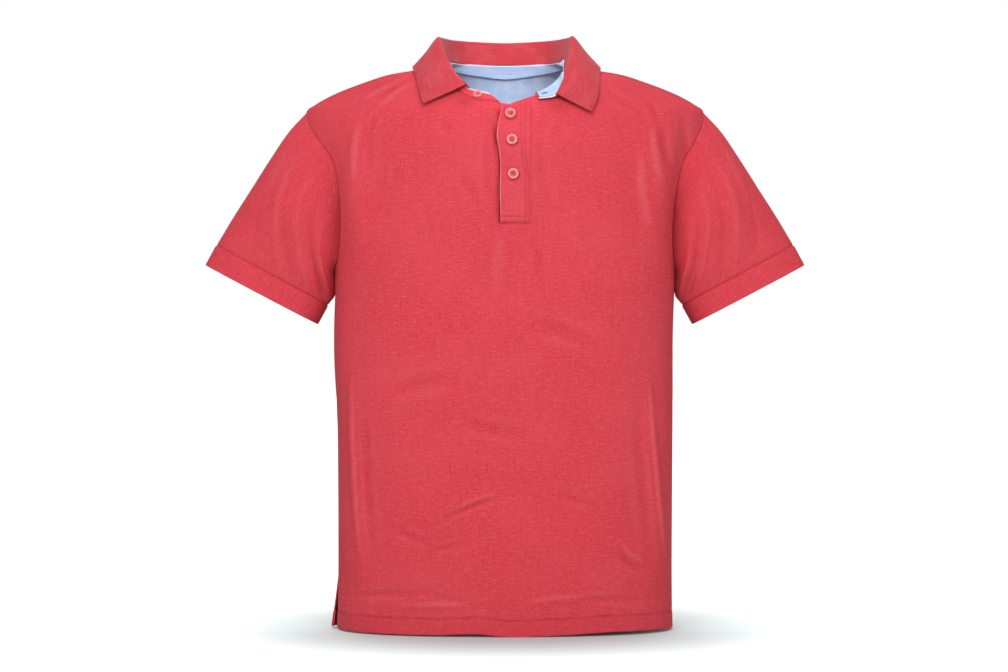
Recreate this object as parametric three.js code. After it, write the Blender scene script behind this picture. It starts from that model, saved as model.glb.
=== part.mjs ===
// Polo shirt with short sleeves, standing open as when it is worn.
// Millimetres, +Z up, the front of the shirt faces -Y, and X runs to the viewer's right.
// The origin lies between the shoulders, at the height where a neck carries the shirt.
// Every piece of cloth is a wall with an outer and an inner face, cut at its seams.
import * as THREE from 'three';

// Cloth and sewing sizes.
const clothThickness = 2;
const cuffThickness = 3;
const collarThickness = 2.2;
const bandThickness = 1.1;
const liningThickness = 1;
const placketThickness = 1.8;
const seamGap = 0.3;
const neckSeat = 0.8;

// Garment levels and lengths.
const hemZ = -731;
const ventTopZ = -662;
const armpitZ = -258;
const shoulderPointZ = -48;
const neckSideZ = 14;
const ventFlare = 8;
const placketLeftX = -6;
const placketRightX = 30;
const placketSlotZ = -190;
const placketEndZ = -200;

// Buttons.
const buttonDiameter = 14;
const buttonHeight = 2.6;
const buttonDish = 1.1;
const collarButtonDiameter = 11.5;
const buttonSegments = 18;

// Colours.
const redCloth = '#d84a56';
const blueCloth = '#b4c6e4';
const buttonPink = '#ee8c90';

// Horizontal sections of the body, from the hem to the side of the neck: half width,
// depth of the front and of the back from the side seam, and how square each half is.
const levels = [
  { z: -731, half: 222, front: 118, back: 110, squareFront: 2.3, squareBack: 2.4 },
  { z: -660, half: 221, front: 119, back: 110, squareFront: 2.3, squareBack: 2.4 },
  { z: -520, half: 220.5, front: 120, back: 111, squareFront: 2.3, squareBack: 2.4 },
  { z: -400, half: 221.5, front: 122, back: 115, squareFront: 2.3, squareBack: 2.4 },
  { z: -300, half: 224, front: 124, back: 121, squareFront: 2.3, squareBack: 2.4 },
  { z: -235, half: 229, front: 123, back: 125, squareFront: 2.3, squareBack: 2.4 },
  { z: -175, half: 238, front: 119, back: 127, squareFront: 2.25, squareBack: 2.3 },
  { z: -120, half: 251, front: 112, back: 123, squareFront: 2.2, squareBack: 2.2 },
  { z: -85, half: 262, front: 104, back: 117, squareFront: 2.15, squareBack: 2.1 },
  { z: -62, half: 266, front: 96, back: 111, squareFront: 2.1, squareBack: 2 },
  { z: -48, half: 263, front: 88, back: 107, squareFront: 2.1, squareBack: 1.9 },
  { z: -38, half: 251, front: 79, back: 104, squareFront: 2, squareBack: 1.8 },
  { z: -24, half: 225, front: 62, back: 97, squareFront: 2, squareBack: 1.7 },
  { z: -7, half: 181, front: 42, back: 90, squareFront: 2, squareBack: 1.6 },
  { z: 1, half: 156, front: 32, back: 86, squareFront: 2, squareBack: 1.6 },
  { z: 7, half: 122, front: 22, back: 80, squareFront: 2, squareBack: 1.6 },
  { z: 14, half: 82, front: 12, back: 58, squareFront: 2, squareBack: 1.8 },
];

// Armhole seam: distance from the centre line at each height, front left, front right and back.
const armholeRows = [
  { z: -252, left: 223, right: 225, back: 225.5 },
  { z: -232, left: 220, right: 224, back: 224 },
  { z: -200, left: 219, right: 225, back: 226 },
  { z: -165, left: 219.5, right: 229, back: 231 },
  { z: -135, left: 223, right: 235, back: 238 },
  { z: -112, left: 231, right: 242, back: 245 },
  { z: -86, left: 248, right: 253, back: 254 },
  { z: -63, left: 260.5, right: 262, back: 264 },
];

// Shoulder seam: its turn from the front centre line, in degrees, at each height.
const shoulderSeamRows = [
  { z: shoulderPointZ, turn: 82 },
  { z: -24, turn: 76 },
  { z: -7, turn: 72 },
  { z: 7, turn: 66 },
  { z: neckSideZ, turn: 60 },
];

// Neckline of the front from the side of the neck to the placket, and of the back to its centre.
const neckFrontLeftRows = [
  { x: -80, z: 2 },
  { x: -72, z: -13 },
  { x: -60, z: -26 },
  { x: -46, z: -35 },
  { x: -31, z: -39 },
  { x: -18, z: -39 },
  { x: placketLeftX, z: -41 },
];
const neckFrontRightRows = [
  { x: 80, z: 2 },
  { x: 73, z: -8 },
  { x: 64, z: -17 },
  { x: 53, z: -25 },
  { x: 42, z: -31 },
  { x: placketRightX, z: -35 },
];
const neckBackRows = [
  { turn: 90, z: 13.5 },
  { turn: 125, z: 11.5 },
  { turn: 155, z: 9 },
  { turn: 180, z: 8 },
];

// Folds of the body: centre line of each, its half width, and how far it stands out.
const bodyFolds = [
  { face: 'front', x0: -236, z0: -75, x1: -214, z1: -250, width: 20, out: -9 },
  { face: 'front', x0: 238, z0: -80, x1: 226, z1: -250, width: 18, out: -9 },
  { face: 'front', x0: -205, z0: -95, x1: -190, z1: -240, width: 22, out: 5 },
  { face: 'front', x0: 208, z0: -90, x1: 196, z1: -240, width: 22, out: 5 },
  { face: 'front', x0: -208, z0: -330, x1: -186, z1: -690, width: 20, out: 4 },
  { face: 'front', x0: 208, z0: -380, x1: 190, z1: -690, width: 20, out: 4 },
  { face: 'front', x0: -150, z0: -60, x1: -185, z1: -200, width: 24, out: -4 },
  { face: 'front', x0: 150, z0: -60, x1: 190, z1: -180, width: 24, out: -4 },
  { face: 'front', x0: -232, z0: -290, x1: -224, z1: -430, width: 26, out: 4 },
  { face: 'back', x0: -232, z0: -290, x1: -224, z1: -430, width: 26, out: 4 },
  { face: 'front', x0: -30, z0: -560, x1: 60, z1: -640, width: 34, out: 3 },
  { face: 'back', x0: -222, z0: -90, x1: -212, z1: -250, width: 20, out: -9 },
  { face: 'back', x0: 222, z0: -90, x1: 212, z1: -250, width: 20, out: -9 },
  { face: 'back', x0: -190, z0: -95, x1: -175, z1: -300, width: 24, out: 6 },
  { face: 'back', x0: 186, z0: -110, x1: 172, z1: -330, width: 24, out: 6 },
  { face: 'back', x0: -70, z0: -430, x1: -100, z1: -700, width: 34, out: -5 },
  { face: 'back', x0: 60, z0: -400, x1: 84, z1: -700, width: 34, out: -5 },
  { face: 'back', x0: -205, z0: -400, x1: -190, z1: -690, width: 22, out: 4 },
  { face: 'back', x0: 205, z0: -380, x1: 192, z1: -690, width: 22, out: 4 },
];
const foldEndShare = 0.25;
const ventFlareTurn = 0.22;

// Sleeve from the armhole to the cuff seam: its upper and its under edge, and its half depths.
const sleeveStations = [
  { along: 0, outX: 261, outZ: -48, underX: 227, underZ: -258, front: 55, back: 57 },
  { along: 0.16, outX: 286.5, outZ: -75, underX: 227.9, underZ: -270, front: 60, back: 62 },
  { along: 0.36, outX: 311.5, outZ: -111, underX: 228, underZ: -281, front: 58, back: 60 },
  { along: 0.6, outX: 338.5, outZ: -153, underX: 228.6, underZ: -292, front: 50, back: 52 },
  { along: 0.8, outX: 361.5, outZ: -189, underX: 231.5, underZ: -299, front: 42, back: 44 },
  { along: 1, outX: 383, outZ: -225, underX: 239, underZ: -305, front: 35, back: 36 },
];
const cuffEnd = { outX: 397, outZ: -251, underX: 249, underZ: -329, front: 34, back: 34 };
const cuffProud = 1.2;
const sleeveSquare = 2.15;
const sleeveHeadFade = 2;
const underarmFade = 9;
const sleeveEnd = 0.998;

// Folds of a sleeve: turn from its upper edge in degrees, reach along it, half width, and height.
const sleeveFolds = [
  { turn: 62, from: 0.15, to: 0.95, width: 16, out: 4 },
  { turn: 100, from: 0.1, to: 0.8, width: 14, out: -4 },
  { turn: 138, from: 0.05, to: 0.85, width: 15, out: 4 },
  { turn: 232, from: 0.1, to: 0.85, width: 16, out: 4 },
  { turn: 268, from: 0.1, to: 0.85, width: 16, out: -4 },
  { turn: 305, from: 0.1, to: 0.9, width: 16, out: 4 },
];

// Collar and neckband, from the viewer's left end round the back to the right end:
// top edge of the band, fold line of the collar, and outer edge of its fall.
const collarStations = [
  { at: -1, bandX: -18, bandY: -73, bandZ: -31 },
  { at: -0.84, bandX: -49, bandY: -62, bandZ: -22 },
  { at: -0.66, bandX: -63, bandY: -48, bandZ: -8 },
  { at: -0.48, bandX: -73, bandY: -27, bandZ: 7 },
  { at: -0.32, bandX: -77, bandY: 0, bandZ: 19 },
  { at: -0.15, bandX: -52, bandY: 56, bandZ: 20 },
  { at: 0, bandX: 0, bandY: 74, bandZ: 19 },
  { at: 0.15, bandX: 52, bandY: 56, bandZ: 20 },
  { at: 0.32, bandX: 78, bandY: 0, bandZ: 19 },
  { at: 0.48, bandX: 79, bandY: -27, bandZ: 7 },
  { at: 0.66, bandX: 77, bandY: -52, bandZ: -8 },
  { at: 0.84, bandX: 66, bandY: -80, bandZ: -33 },
  { at: 1, bandX: 38, bandY: -84, bandZ: -37 },
];
const collarReach = 0.84;
const bandEnd = 0.97;
const liningEnd = 0.965;
const leafStations = [
  { at: -0.84, foldX: -51, foldY: -70, foldZ: -17, edgeX: -107, edgeY: -88, edgeZ: -44, bow: 3 },
  { at: -0.66, foldX: -66, foldY: -63, foldZ: -1, edgeX: -111, edgeY: -70, edgeZ: -29, bow: 3 },
  { at: -0.48, foldX: -79, foldY: -40, foldZ: 25, edgeX: -117, edgeY: -38, edgeZ: -5, bow: 0 },
  { at: -0.32, foldX: -88, foldY: -2, foldZ: 51, edgeX: -123, edgeY: 4, edgeZ: 11, bow: -2 },
  { at: -0.15, foldX: -60, foldY: 66, foldZ: 52.5, edgeX: -82, edgeY: 86, edgeZ: 2, bow: 1 },
  { at: 0, foldX: 0, foldY: 86, foldZ: 51.5, edgeX: 0, edgeY: 106, edgeZ: -3, bow: 3 },
  { at: 0.15, foldX: 60, foldY: 66, foldZ: 52.5, edgeX: 84, edgeY: 86, edgeZ: 2, bow: 1 },
  { at: 0.32, foldX: 89, foldY: -2, foldZ: 52, edgeX: 127, edgeY: 4, edgeZ: 10, bow: -2 },
  { at: 0.48, foldX: 86, foldY: -38, foldZ: 24, edgeX: 124, edgeY: -38, edgeZ: -7, bow: 0 },
  { at: 0.66, foldX: 80, foldY: -62, foldZ: -3, edgeX: 121, edgeY: -74, edgeZ: -33, bow: 3 },
  { at: 0.84, foldX: 68, foldY: -86, foldZ: -31, edgeX: 113, edgeY: -96, edgeZ: -55, bow: 3 },
];
const foldRadius = 3;
const foldInnerSide = 0.8;
const foldOuterSide = 2.2;
const collarStartClear = 0.5;

// Grid steps.
const frontColumns = 14;
const shoulderSteps = 6;
const slotColumns = 2;
const backColumns = 12;
const sideRows = 20;
const armholeSteps = 12;
const slotRow = 25;
const backMiddleZ = -290;
const sleeveRingSteps = 24;
const sleeveLengthSteps = 11;
const collarSteps = 34;
const bandSteps = 36;

const quarterTurn = Math.PI / 2;
const patternScale = 190;
const radians = THREE.MathUtils.degToRad;

// Smooth curve through the rows of a table: one cubic piece between neighbours, no overshoot.
function smoothColumn(rows, key, column, at) {
  let i = 0;
  while (i < rows.length - 2 && at > rows[i + 1][key]) {
    i += 1;
  }
  const slope = (j) => (rows[j + 1][column] - rows[j][column]) / (rows[j + 1][key] - rows[j][key]);
  const tangent = (j) => {
    if (j === 0) {
      return slope(0);
    }
    if (j === rows.length - 1) {
      return slope(j - 1);
    }
    const before = slope(j - 1);
    const after = slope(j);
    return before * after <= 0 ? 0 : (2 * before * after) / (before + after);
  };
  const span = rows[i + 1][key] - rows[i][key];
  const s = THREE.MathUtils.clamp((at - rows[i][key]) / span, 0, 1);
  const s2 = s * s;
  const s3 = s2 * s;
  return (2 * s3 - 3 * s2 + 1) * rows[i][column]
    + (s3 - 2 * s2 + s) * span * tangent(i)
    + (3 * s2 - 2 * s3) * rows[i + 1][column]
    + (s3 - s2) * span * tangent(i + 1);
}

// Height up the cloth, in millimetres along the side and the shoulder ridge, of each level.
levels.forEach((row, i) => {
  const last = levels[i - 1];
  row.up = i === 0 ? 0 : last.up + Math.hypot(row.half - last.half, row.z - last.z);
});

function levelAt(up) {
  const level = {};
  for (const column of ['z', 'half', 'front', 'back', 'squareFront', 'squareBack']) {
    level[column] = smoothColumn(levels, 'up', column, up);
  }
  return level;
}

function bisect(low, high, tooLow) {
  for (let i = 0; i < 40; i += 1) {
    const middle = (low + high) / 2;
    if (tooLow(middle)) {
      low = middle;
    } else {
      high = middle;
    }
  }
  return (low + high) / 2;
}

function upAtHeight(z) {
  return bisect(0, levels[levels.length - 1].up, (up) => levelAt(up).z < z);
}

// Body form: turn runs from the front centre line (0) past the sides to the back (half a turn).
function bodyForm(turn, up) {
  const level = levelAt(up);
  const isFront = Math.abs(turn) <= quarterTurn;
  const square = isFront ? level.squareFront : level.squareBack;
  const depth = isFront ? level.front : level.back;
  const s = Math.sin(turn);
  const c = Math.cos(turn);
  const reach = (Math.abs(s) ** square + Math.abs(c) ** square) ** (-1 / square);
  return new THREE.Vector3(level.half * s * reach, -depth * c * reach, level.z);
}

function surfaceNormal(surface, a, b, stepA, stepB) {
  const alongA = surface(a + stepA, b).sub(surface(a - stepA, b));
  const alongB = surface(a, b + stepB).sub(surface(a, b - stepB));
  return alongA.cross(alongB).normalize();
}

function foldHeight(fold, x, z) {
  const runX = fold.x1 - fold.x0;
  const runZ = fold.z1 - fold.z0;
  const along = ((x - fold.x0) * runX + (z - fold.z0) * runZ) / (runX * runX + runZ * runZ);
  const held = THREE.MathUtils.clamp(along, 0, 1);
  const away = Math.hypot(x - fold.x0 - held * runX, z - fold.z0 - held * runZ);
  const fade = THREE.MathUtils.lerp(foldEndShare, 1, Math.sin(Math.PI * held));
  return fold.out * fade * Math.exp(-((away / fold.width) ** 2));
}

// Back of the left side vent, which stands a little outside the front.
function flareAt(turn, z) {
  const low = THREE.MathUtils.clamp((ventTopZ - z) / (ventTopZ - hemZ), 0, 1);
  const nearSide = Math.exp(-(((Math.abs(turn) - quarterTurn) / ventFlareTurn) ** 2));
  return turn < -quarterTurn ? ventFlare * low * nearSide : 0;
}

// Worn surface of the body: the form with its folds.
function body(turn, up) {
  const point = bodyForm(turn, up);
  const normal = surfaceNormal(bodyForm, turn, up, 0.01, 2);
  const face = Math.abs(turn) <= quarterTurn ? 'front' : 'back';
  let out = flareAt(turn, point.z);
  for (const fold of bodyFolds) {
    if (fold.face === face) {
      out += foldHeight(fold, point.x, point.z);
    }
  }
  return point.addScaledVector(normal, out);
}

function bodyNormal(turn, up) {
  return surfaceNormal(body, turn, up, 0.02, 4);
}

// Turn and height up the cloth of a place on the front or the back, given as seen from the front.
function place(face, x, z) {
  const up = upAtHeight(z);
  const size = bisect(0, quarterTurn, (turn) => bodyForm(turn, up).x < Math.abs(x));
  const sizeBack = bisect(0, quarterTurn, (turn) => bodyForm(Math.PI - turn, up).x < Math.abs(x));
  const turn = face === 'front' ? size : Math.PI - sizeBack;
  return { turn: Math.sign(x || 1) * turn, up };
}

// Seams are drawn in the plane of the pattern: turn times a scale across, height up the cloth.
function patternPoint(where) {
  return new THREE.Vector2(where.turn * patternScale, where.up);
}

function armholeCurve(face, side) {
  const column = face === 'back' ? 'back' : side < 0 ? 'left' : 'right';
  const points = [new THREE.Vector2(side * quarterTurn * patternScale, upAtHeight(armpitZ))];
  for (const row of armholeRows) {
    points.push(patternPoint(place(face, side * row[column], row.z)));
  }
  const top = shoulderSeamRows[0];
  points.push(new THREE.Vector2(side * radians(top.turn) * patternScale, upAtHeight(top.z)));
  return new THREE.SplineCurve(points);
}

function shoulderCurve(side) {
  return new THREE.SplineCurve(shoulderSeamRows.map((row) => (
    new THREE.Vector2(side * radians(row.turn) * patternScale, upAtHeight(row.z))
  )));
}

const neckSideRow = shoulderSeamRows[shoulderSeamRows.length - 1];

function neckSidePoint(side) {
  return new THREE.Vector2(side * radians(neckSideRow.turn) * patternScale, upAtHeight(neckSideZ));
}

function frontNeckCurve(side) {
  const rows = side < 0 ? neckFrontLeftRows : neckFrontRightRows;
  const points = rows.map((row) => patternPoint(place('front', row.x, row.z)));
  return new THREE.SplineCurve([neckSidePoint(side), ...points]);
}

function backNeckCurve(side) {
  const points = neckBackRows.map((row) => (
    new THREE.Vector2(side * radians(row.turn) * patternScale, upAtHeight(row.z))
  ));
  return new THREE.SplineCurve([neckSidePoint(side), ...points]);
}

const curves = {};
for (const side of [-1, 1]) {
  curves[side] = {
    armholeFront: armholeCurve('front', side),
    armholeBack: armholeCurve('back', side),
    shoulder: shoulderCurve(side),
    neckFront: frontNeckCurve(side),
    neckBack: backNeckCurve(side),
  };
}

function onBody(pattern) {
  return body(pattern.x / patternScale, pattern.y);
}

function normalOnBody(pattern) {
  return bodyNormal(pattern.x / patternScale, pattern.y);
}

// Closed armhole ring: 0 at the shoulder point, a half turn at the armpit, front first.
function armholePattern(side, turn) {
  const round = ((turn % (2 * Math.PI)) + 2 * Math.PI) % (2 * Math.PI);
  if (round <= Math.PI) {
    return curves[side].armholeFront.getPointAt(1 - round / Math.PI);
  }
  return curves[side].armholeBack.getPointAt(round / Math.PI - 1);
}

const armholeRings = {};
for (const side of [-1, 1]) {
  const points = [];
  const count = 96;
  for (let i = 0; i < count; i += 1) {
    points.push(onBody(armholePattern(side, (i / count) * 2 * Math.PI)));
  }
  armholeRings[side] = new THREE.CatmullRomCurve3(points, true, 'catmullrom', 0.5);
}

// Flat oval ring of a sleeve or cuff between its upper and its under edge.
function sleeveRing(station, side, turn) {
  const s = Math.sin(turn);
  const c = Math.cos(turn);
  const sum = Math.abs(s) ** sleeveSquare + Math.abs(c) ** sleeveSquare;
  const reach = sum ** (-1 / sleeveSquare);
  const depth = s > 0 ? station.front : station.back;
  const middleX = (station.outX + station.underX) / 2;
  const middleZ = (station.outZ + station.underZ) / 2;
  const halfX = (station.outX - station.underX) / 2;
  const halfZ = (station.outZ - station.underZ) / 2;
  return new THREE.Vector3(
    side * (middleX + halfX * c * reach),
    -depth * s * reach,
    middleZ + halfZ * c * reach,
  );
}

function sleeveStation(along) {
  const station = {};
  for (const column of ['outX', 'outZ', 'underX', 'underZ', 'front', 'back']) {
    station[column] = smoothColumn(sleeveStations, 'along', column, along);
  }
  return station;
}

const wristStation = sleeveStations[sleeveStations.length - 1];

function sleeveForm(side, turn, along) {
  const ring = sleeveRing(sleeveStation(along), side, turn);
  const round = ((turn / (2 * Math.PI)) % 1 + 1) % 1;
  const start = armholeRings[side].getPoint(round);
  start.sub(sleeveRing(sleeveStations[0], side, turn));
  const under = (1 - Math.cos(turn)) / 2;
  return ring.addScaledVector(start, (1 - along) ** (sleeveHeadFade + underarmFade * under));
}

function sleeve(side, turn, along) {
  const point = sleeveForm(side, turn, along);
  const surface = (a, b) => sleeveForm(side, a, b);
  const normal = surfaceNormal(surface, turn, THREE.MathUtils.clamp(along, 0.02, 0.98), 0.05, 0.02);
  normal.multiplyScalar(side);
  let out = 0;
  for (const fold of sleeveFolds) {
    const reach = (along - fold.from) / (fold.to - fold.from);
    if (reach > 0 && reach < 1) {
      const degrees = ((THREE.MathUtils.radToDeg(turn) - fold.turn + 540) % 360) - 180;
      out += fold.out * Math.sin(Math.PI * reach) ** 2 * Math.exp(-((degrees / fold.width) ** 2));
    }
  }
  return point.addScaledVector(normal, out);
}

function sleeveNormal(side, turn, along) {
  const surface = (a, b) => sleeve(side, a, b);
  const held = THREE.MathUtils.clamp(along, 0.03, 0.97);
  return surfaceNormal(surface, turn, held, 0.06, 0.03).multiplyScalar(side);
}

// Frame of a seam: its normal, and the way across it from one piece to the other.
function seamFrame(tangent, normal, towards) {
  const across = new THREE.Vector3().crossVectors(tangent, normal).normalize();
  if (across.dot(towards) < 0) {
    across.negate();
  }
  return { normal, across };
}

function armholeFrame(side, turn) {
  const tangent = armholeRings[side].getTangent(((turn / (2 * Math.PI)) % 1 + 1) % 1);
  const normal = normalOnBody(armholePattern(side, turn)).add(sleeveNormal(side, turn, 0));
  normal.normalize();
  const across = new THREE.Vector3().crossVectors(tangent, normal).normalize();
  return { normal, across: across.multiplyScalar(-side) };
}

// Wall of cloth from a grid of outer and inner points; cells where keep is false are left out.
function wallGeometry(grid, keep, closed) {
  const rows = grid.length;
  const columns = grid[0].length;
  const positions = [];
  const indices = [];
  for (const layer of ['outer', 'inner']) {
    for (const row of grid) {
      for (const node of row) {
        positions.push(node[layer].x, node[layer].y, node[layer].z);
      }
    }
  }
  const shift = rows * columns;
  const at = (i, j) => i * columns + (j % columns);
  const spans = closed ? columns : columns - 1;
  const has = (i, j) => {
    if (i < 0 || i >= rows - 1) {
      return false;
    }
    if (closed) {
      return true;
    }
    return j >= 0 && j < spans && keep(i, j);
  };
  const quad = (a, b, c, d) => indices.push(a, b, c, a, c, d);
  const outer = (k) => grid[Math.floor(k / columns)][k % columns].outer;
  for (let i = 0; i < rows - 1; i += 1) {
    for (let j = 0; j < spans; j += 1) {
      if (has(i, j)) {
        const a = at(i, j);
        const b = at(i, j + 1);
        const c = at(i + 1, j + 1);
        const d = at(i + 1, j);
        if (outer(a).distanceTo(outer(c)) < outer(b).distanceTo(outer(d))) {
          quad(a, b, c, d);
          quad(a + shift, d + shift, c + shift, b + shift);
        } else {
          quad(b, c, d, a);
          quad(b + shift, a + shift, d + shift, c + shift);
        }
        if (!has(i - 1, j)) {
          quad(b, a, a + shift, b + shift);
        }
        if (!has(i + 1, j)) {
          quad(d, c, c + shift, d + shift);
        }
        if (!closed && !has(i, j - 1)) {
          quad(a, d, d + shift, a + shift);
        }
        if (!closed && !has(i, j + 1)) {
          quad(c, b, b + shift, c + shift);
        }
      }
    }
  }
  const geometry = new THREE.BufferGeometry();
  geometry.setAttribute('position', new THREE.Float32BufferAttribute(positions, 3));
  geometry.setIndex(indices);
  return usedPointsOnly(geometry);
}

// Drops the points that no face uses, and turns the faces outwards.
function usedPointsOnly(geometry) {
  const source = geometry.getAttribute('position');
  const index = Array.from(geometry.getIndex().array);
  const renamed = new Map();
  const positions = [];
  const indices = index.map((old) => {
    if (!renamed.has(old)) {
      renamed.set(old, renamed.size);
      positions.push(source.getX(old), source.getY(old), source.getZ(old));
    }
    return renamed.get(old);
  });
  const point = (i) => new THREE.Vector3().fromArray(positions, indices[i] * 3);
  let volume = 0;
  for (let i = 0; i < indices.length; i += 3) {
    volume += point(i).dot(point(i + 1).cross(point(i + 2)));
  }
  if (volume < 0) {
    for (let i = 0; i < indices.length; i += 3) {
      [indices[i + 1], indices[i + 2]] = [indices[i + 2], indices[i + 1]];
    }
  }
  const result = new THREE.BufferGeometry();
  result.setAttribute('position', new THREE.Float32BufferAttribute(positions, 3));
  result.setIndex(indices);
  result.computeVertexNormals();
  return result;
}

// Node of a wall: offsets across its seams, then the inner point straight below.
function wallNode(point, normal, frames, thickness) {
  const outer = point.clone();
  const shared = frames.length > 0 ? new THREE.Vector3() : normal.clone();
  for (const frame of frames) {
    outer.addScaledVector(frame.across, -seamGap / 2);
    shared.add(frame.normal);
  }
  shared.normalize();
  return { outer, inner: outer.clone().addScaledVector(shared, -thickness) };
}

// Seam between front and back, along the side or the shoulder.
function sideFrame(pattern, faceSign, side, along) {
  const normal = normalOnBody(pattern);
  const turn = pattern.x / patternScale;
  const towards = body(turn + side * faceSign * 0.02, pattern.y).sub(body(turn, pattern.y));
  return seamFrame(along, normal, towards);
}

function curveTangent(curve, at) {
  const step = 0.01;
  const before = onBody(curve.getPointAt(Math.max(at - step, 0)));
  const after = onBody(curve.getPointAt(Math.min(at + step, 1)));
  return after.sub(before).normalize();
}

// Half of the front or back: its outer edge is the side seam and the armhole, its top edge the
// shoulder seam and the neckline, and its inner edge a line down the middle of the body.
function halfPanel(face, side, innerEdge, columns) {
  const seams = curves[side];
  const armhole = face === 'front' ? seams.armholeFront : seams.armholeBack;
  const neck = face === 'front' ? seams.neckFront : seams.neckBack;
  const faceSign = face === 'front' ? 1 : -1;
  const rows = sideRows + armholeSteps;
  const armpitUp = upAtHeight(armpitZ);
  const sidePattern = side * quarterTurn * patternScale;
  const outerEdge = (i) => {
    if (i <= sideRows) {
      return new THREE.Vector2(sidePattern, (armpitUp * i) / sideRows);
    }
    return armhole.getPointAt((i - sideRows) / armholeSteps);
  };
  const half = shoulderSteps;
  const topEdge = (j) => (
    j <= half ? seams.shoulder.getPointAt(j / half) : neck.getPointAt((j - half) / (columns - half))
  );
  const topOuter = topEdge(0);
  const topInner = topEdge(columns);
  const grid = [];
  for (let i = 0; i <= rows; i += 1) {
    const v = i / rows;
    const lift = Math.max((i - sideRows) / armholeSteps, 0) ** 2;
    const row = [];
    for (let j = 0; j <= columns; j += 1) {
      const u = j / columns;
      const pattern = outerEdge(i).clone().lerp(innerEdge(v), u);
      const rise = topEdge(j).clone().sub(topOuter.clone().lerp(topInner, u));
      pattern.addScaledVector(rise, lift);
      const frames = [];
      if (j === 0 && i <= sideRows) {
        const along = onBody(outerEdge(i + 0.2)).sub(onBody(outerEdge(i - 0.2 < 0 ? 0 : i - 0.2)));
        frames.push(sideFrame(pattern, faceSign, side, along));
      }
      if (j === 0 && i >= sideRows) {
        const round = Math.PI * (1 - (i - sideRows) / armholeSteps);
        frames.push(armholeFrame(side, face === 'front' ? round : -round));
      }
      if (i === rows && j <= half) {
        const along = curveTangent(seams.shoulder, j / half);
        frames.push(sideFrame(pattern, faceSign, side, along));
      }
      row.push(wallNode(onBody(pattern), normalOnBody(pattern), frames, clothThickness));
    }
    grid.push(row);
  }
  return grid;
}

function frontLine(x, topZ) {
  const rows = sideRows + armholeSteps;
  return (v) => {
    const i = v * rows;
    const low = hemZ + ((placketSlotZ - hemZ) * i) / slotRow;
    const high = placketSlotZ + ((topZ - placketSlotZ) * (i - slotRow)) / (rows - slotRow);
    return patternPoint(place('front', x, i <= slotRow ? low : high));
  };
}

function frontPanel() {
  const leftLine = frontLine(placketLeftX, neckFrontLeftRows[neckFrontLeftRows.length - 1].z);
  const rightLine = frontLine(placketRightX, neckFrontRightRows[neckFrontRightRows.length - 1].z);
  const left = halfPanel('front', -1, leftLine, frontColumns);
  const right = halfPanel('front', 1, rightLine, frontColumns);
  const rows = sideRows + armholeSteps;
  const grid = left.map((row, i) => {
    const middle = [];
    for (let j = 1; j < slotColumns; j += 1) {
      const pattern = leftLine(i / rows).lerp(rightLine(i / rows), j / slotColumns);
      middle.push(wallNode(onBody(pattern), normalOnBody(pattern), [], clothThickness));
    }
    return [...row, ...middle, ...right[i].slice().reverse()];
  });
  const inSlot = (i, j) => i >= slotRow && j >= frontColumns && j < frontColumns + slotColumns;
  return wallGeometry(grid, (i, j) => !inSlot(i, j), false);
}

function backGrid() {
  const rows = sideRows + armholeSteps;
  const topZ = neckBackRows[neckBackRows.length - 1].z;
  const line = (side) => (v) => {
    const i = v * rows;
    const low = hemZ + ((backMiddleZ - hemZ) * i) / sideRows;
    const high = backMiddleZ + ((topZ - backMiddleZ) * (i - sideRows)) / armholeSteps;
    const up = upAtHeight(i <= sideRows ? low : high);
    return new THREE.Vector2(side * Math.PI * patternScale, up);
  };
  const left = halfPanel('back', -1, line(-1), backColumns);
  const right = halfPanel('back', 1, line(1), backColumns);
  const grid = [];
  for (let i = 0; i <= rows; i += 1) {
    grid.push([...left[i].slice(0, -1), ...right[i].slice().reverse()]);
  }
  return grid;
}

function sleeveTube(side) {
  const grid = [];
  for (let i = 0; i <= sleeveLengthSteps; i += 1) {
    const along = (sleeveEnd * i) / sleeveLengthSteps;
    const row = [];
    for (let j = 0; j < sleeveRingSteps; j += 1) {
      const turn = (j / sleeveRingSteps) * 2 * Math.PI;
      const point = sleeve(side, turn, along);
      const node = wallNode(point, sleeveNormal(side, turn, along), [], clothThickness);
      if (i === 0) {
        const frame = armholeFrame(side, turn);
        node.outer = point.clone().addScaledVector(frame.across, seamGap / 2);
        node.inner = node.outer.clone().addScaledVector(frame.normal, -clothThickness);
      }
      row.push(node);
    }
    grid.push(row);
  }
  return wallGeometry(grid, () => true, true);
}

// Cuff: a folded band of double cloth, a little proud of the sleeve, open at the arm.
function cuffTube(side) {
  const cuffRows = [0.012, 0.5, 1];
  const station = (along) => {
    const mixed = {};
    for (const column of Object.keys(cuffEnd)) {
      mixed[column] = THREE.MathUtils.lerp(wristStation[column], cuffEnd[column], along);
    }
    return mixed;
  };
  const surface = (turn, along) => sleeveRing(station(along), side, turn);
  const grid = cuffRows.map((along) => {
    const row = [];
    for (let j = 0; j < sleeveRingSteps; j += 1) {
      const turn = (j / sleeveRingSteps) * 2 * Math.PI;
      const normal = surfaceNormal(surface, turn, along, 0.05, 0.05).multiplyScalar(side);
      const outer = surface(turn, along).addScaledVector(normal, cuffProud);
      row.push({ outer, inner: outer.clone().addScaledVector(normal, -cuffThickness) });
    }
    return row;
  });
  return wallGeometry(grid, () => true, true);
}

// Neckline all the way round, from the left front (-1) past the back (0) to the right front (1).
const neckSideAt = 0.32;

function necklinePattern(side, isFront, at) {
  return (isFront ? curves[side].neckFront : curves[side].neckBack).getPointAt(at);
}

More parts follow.
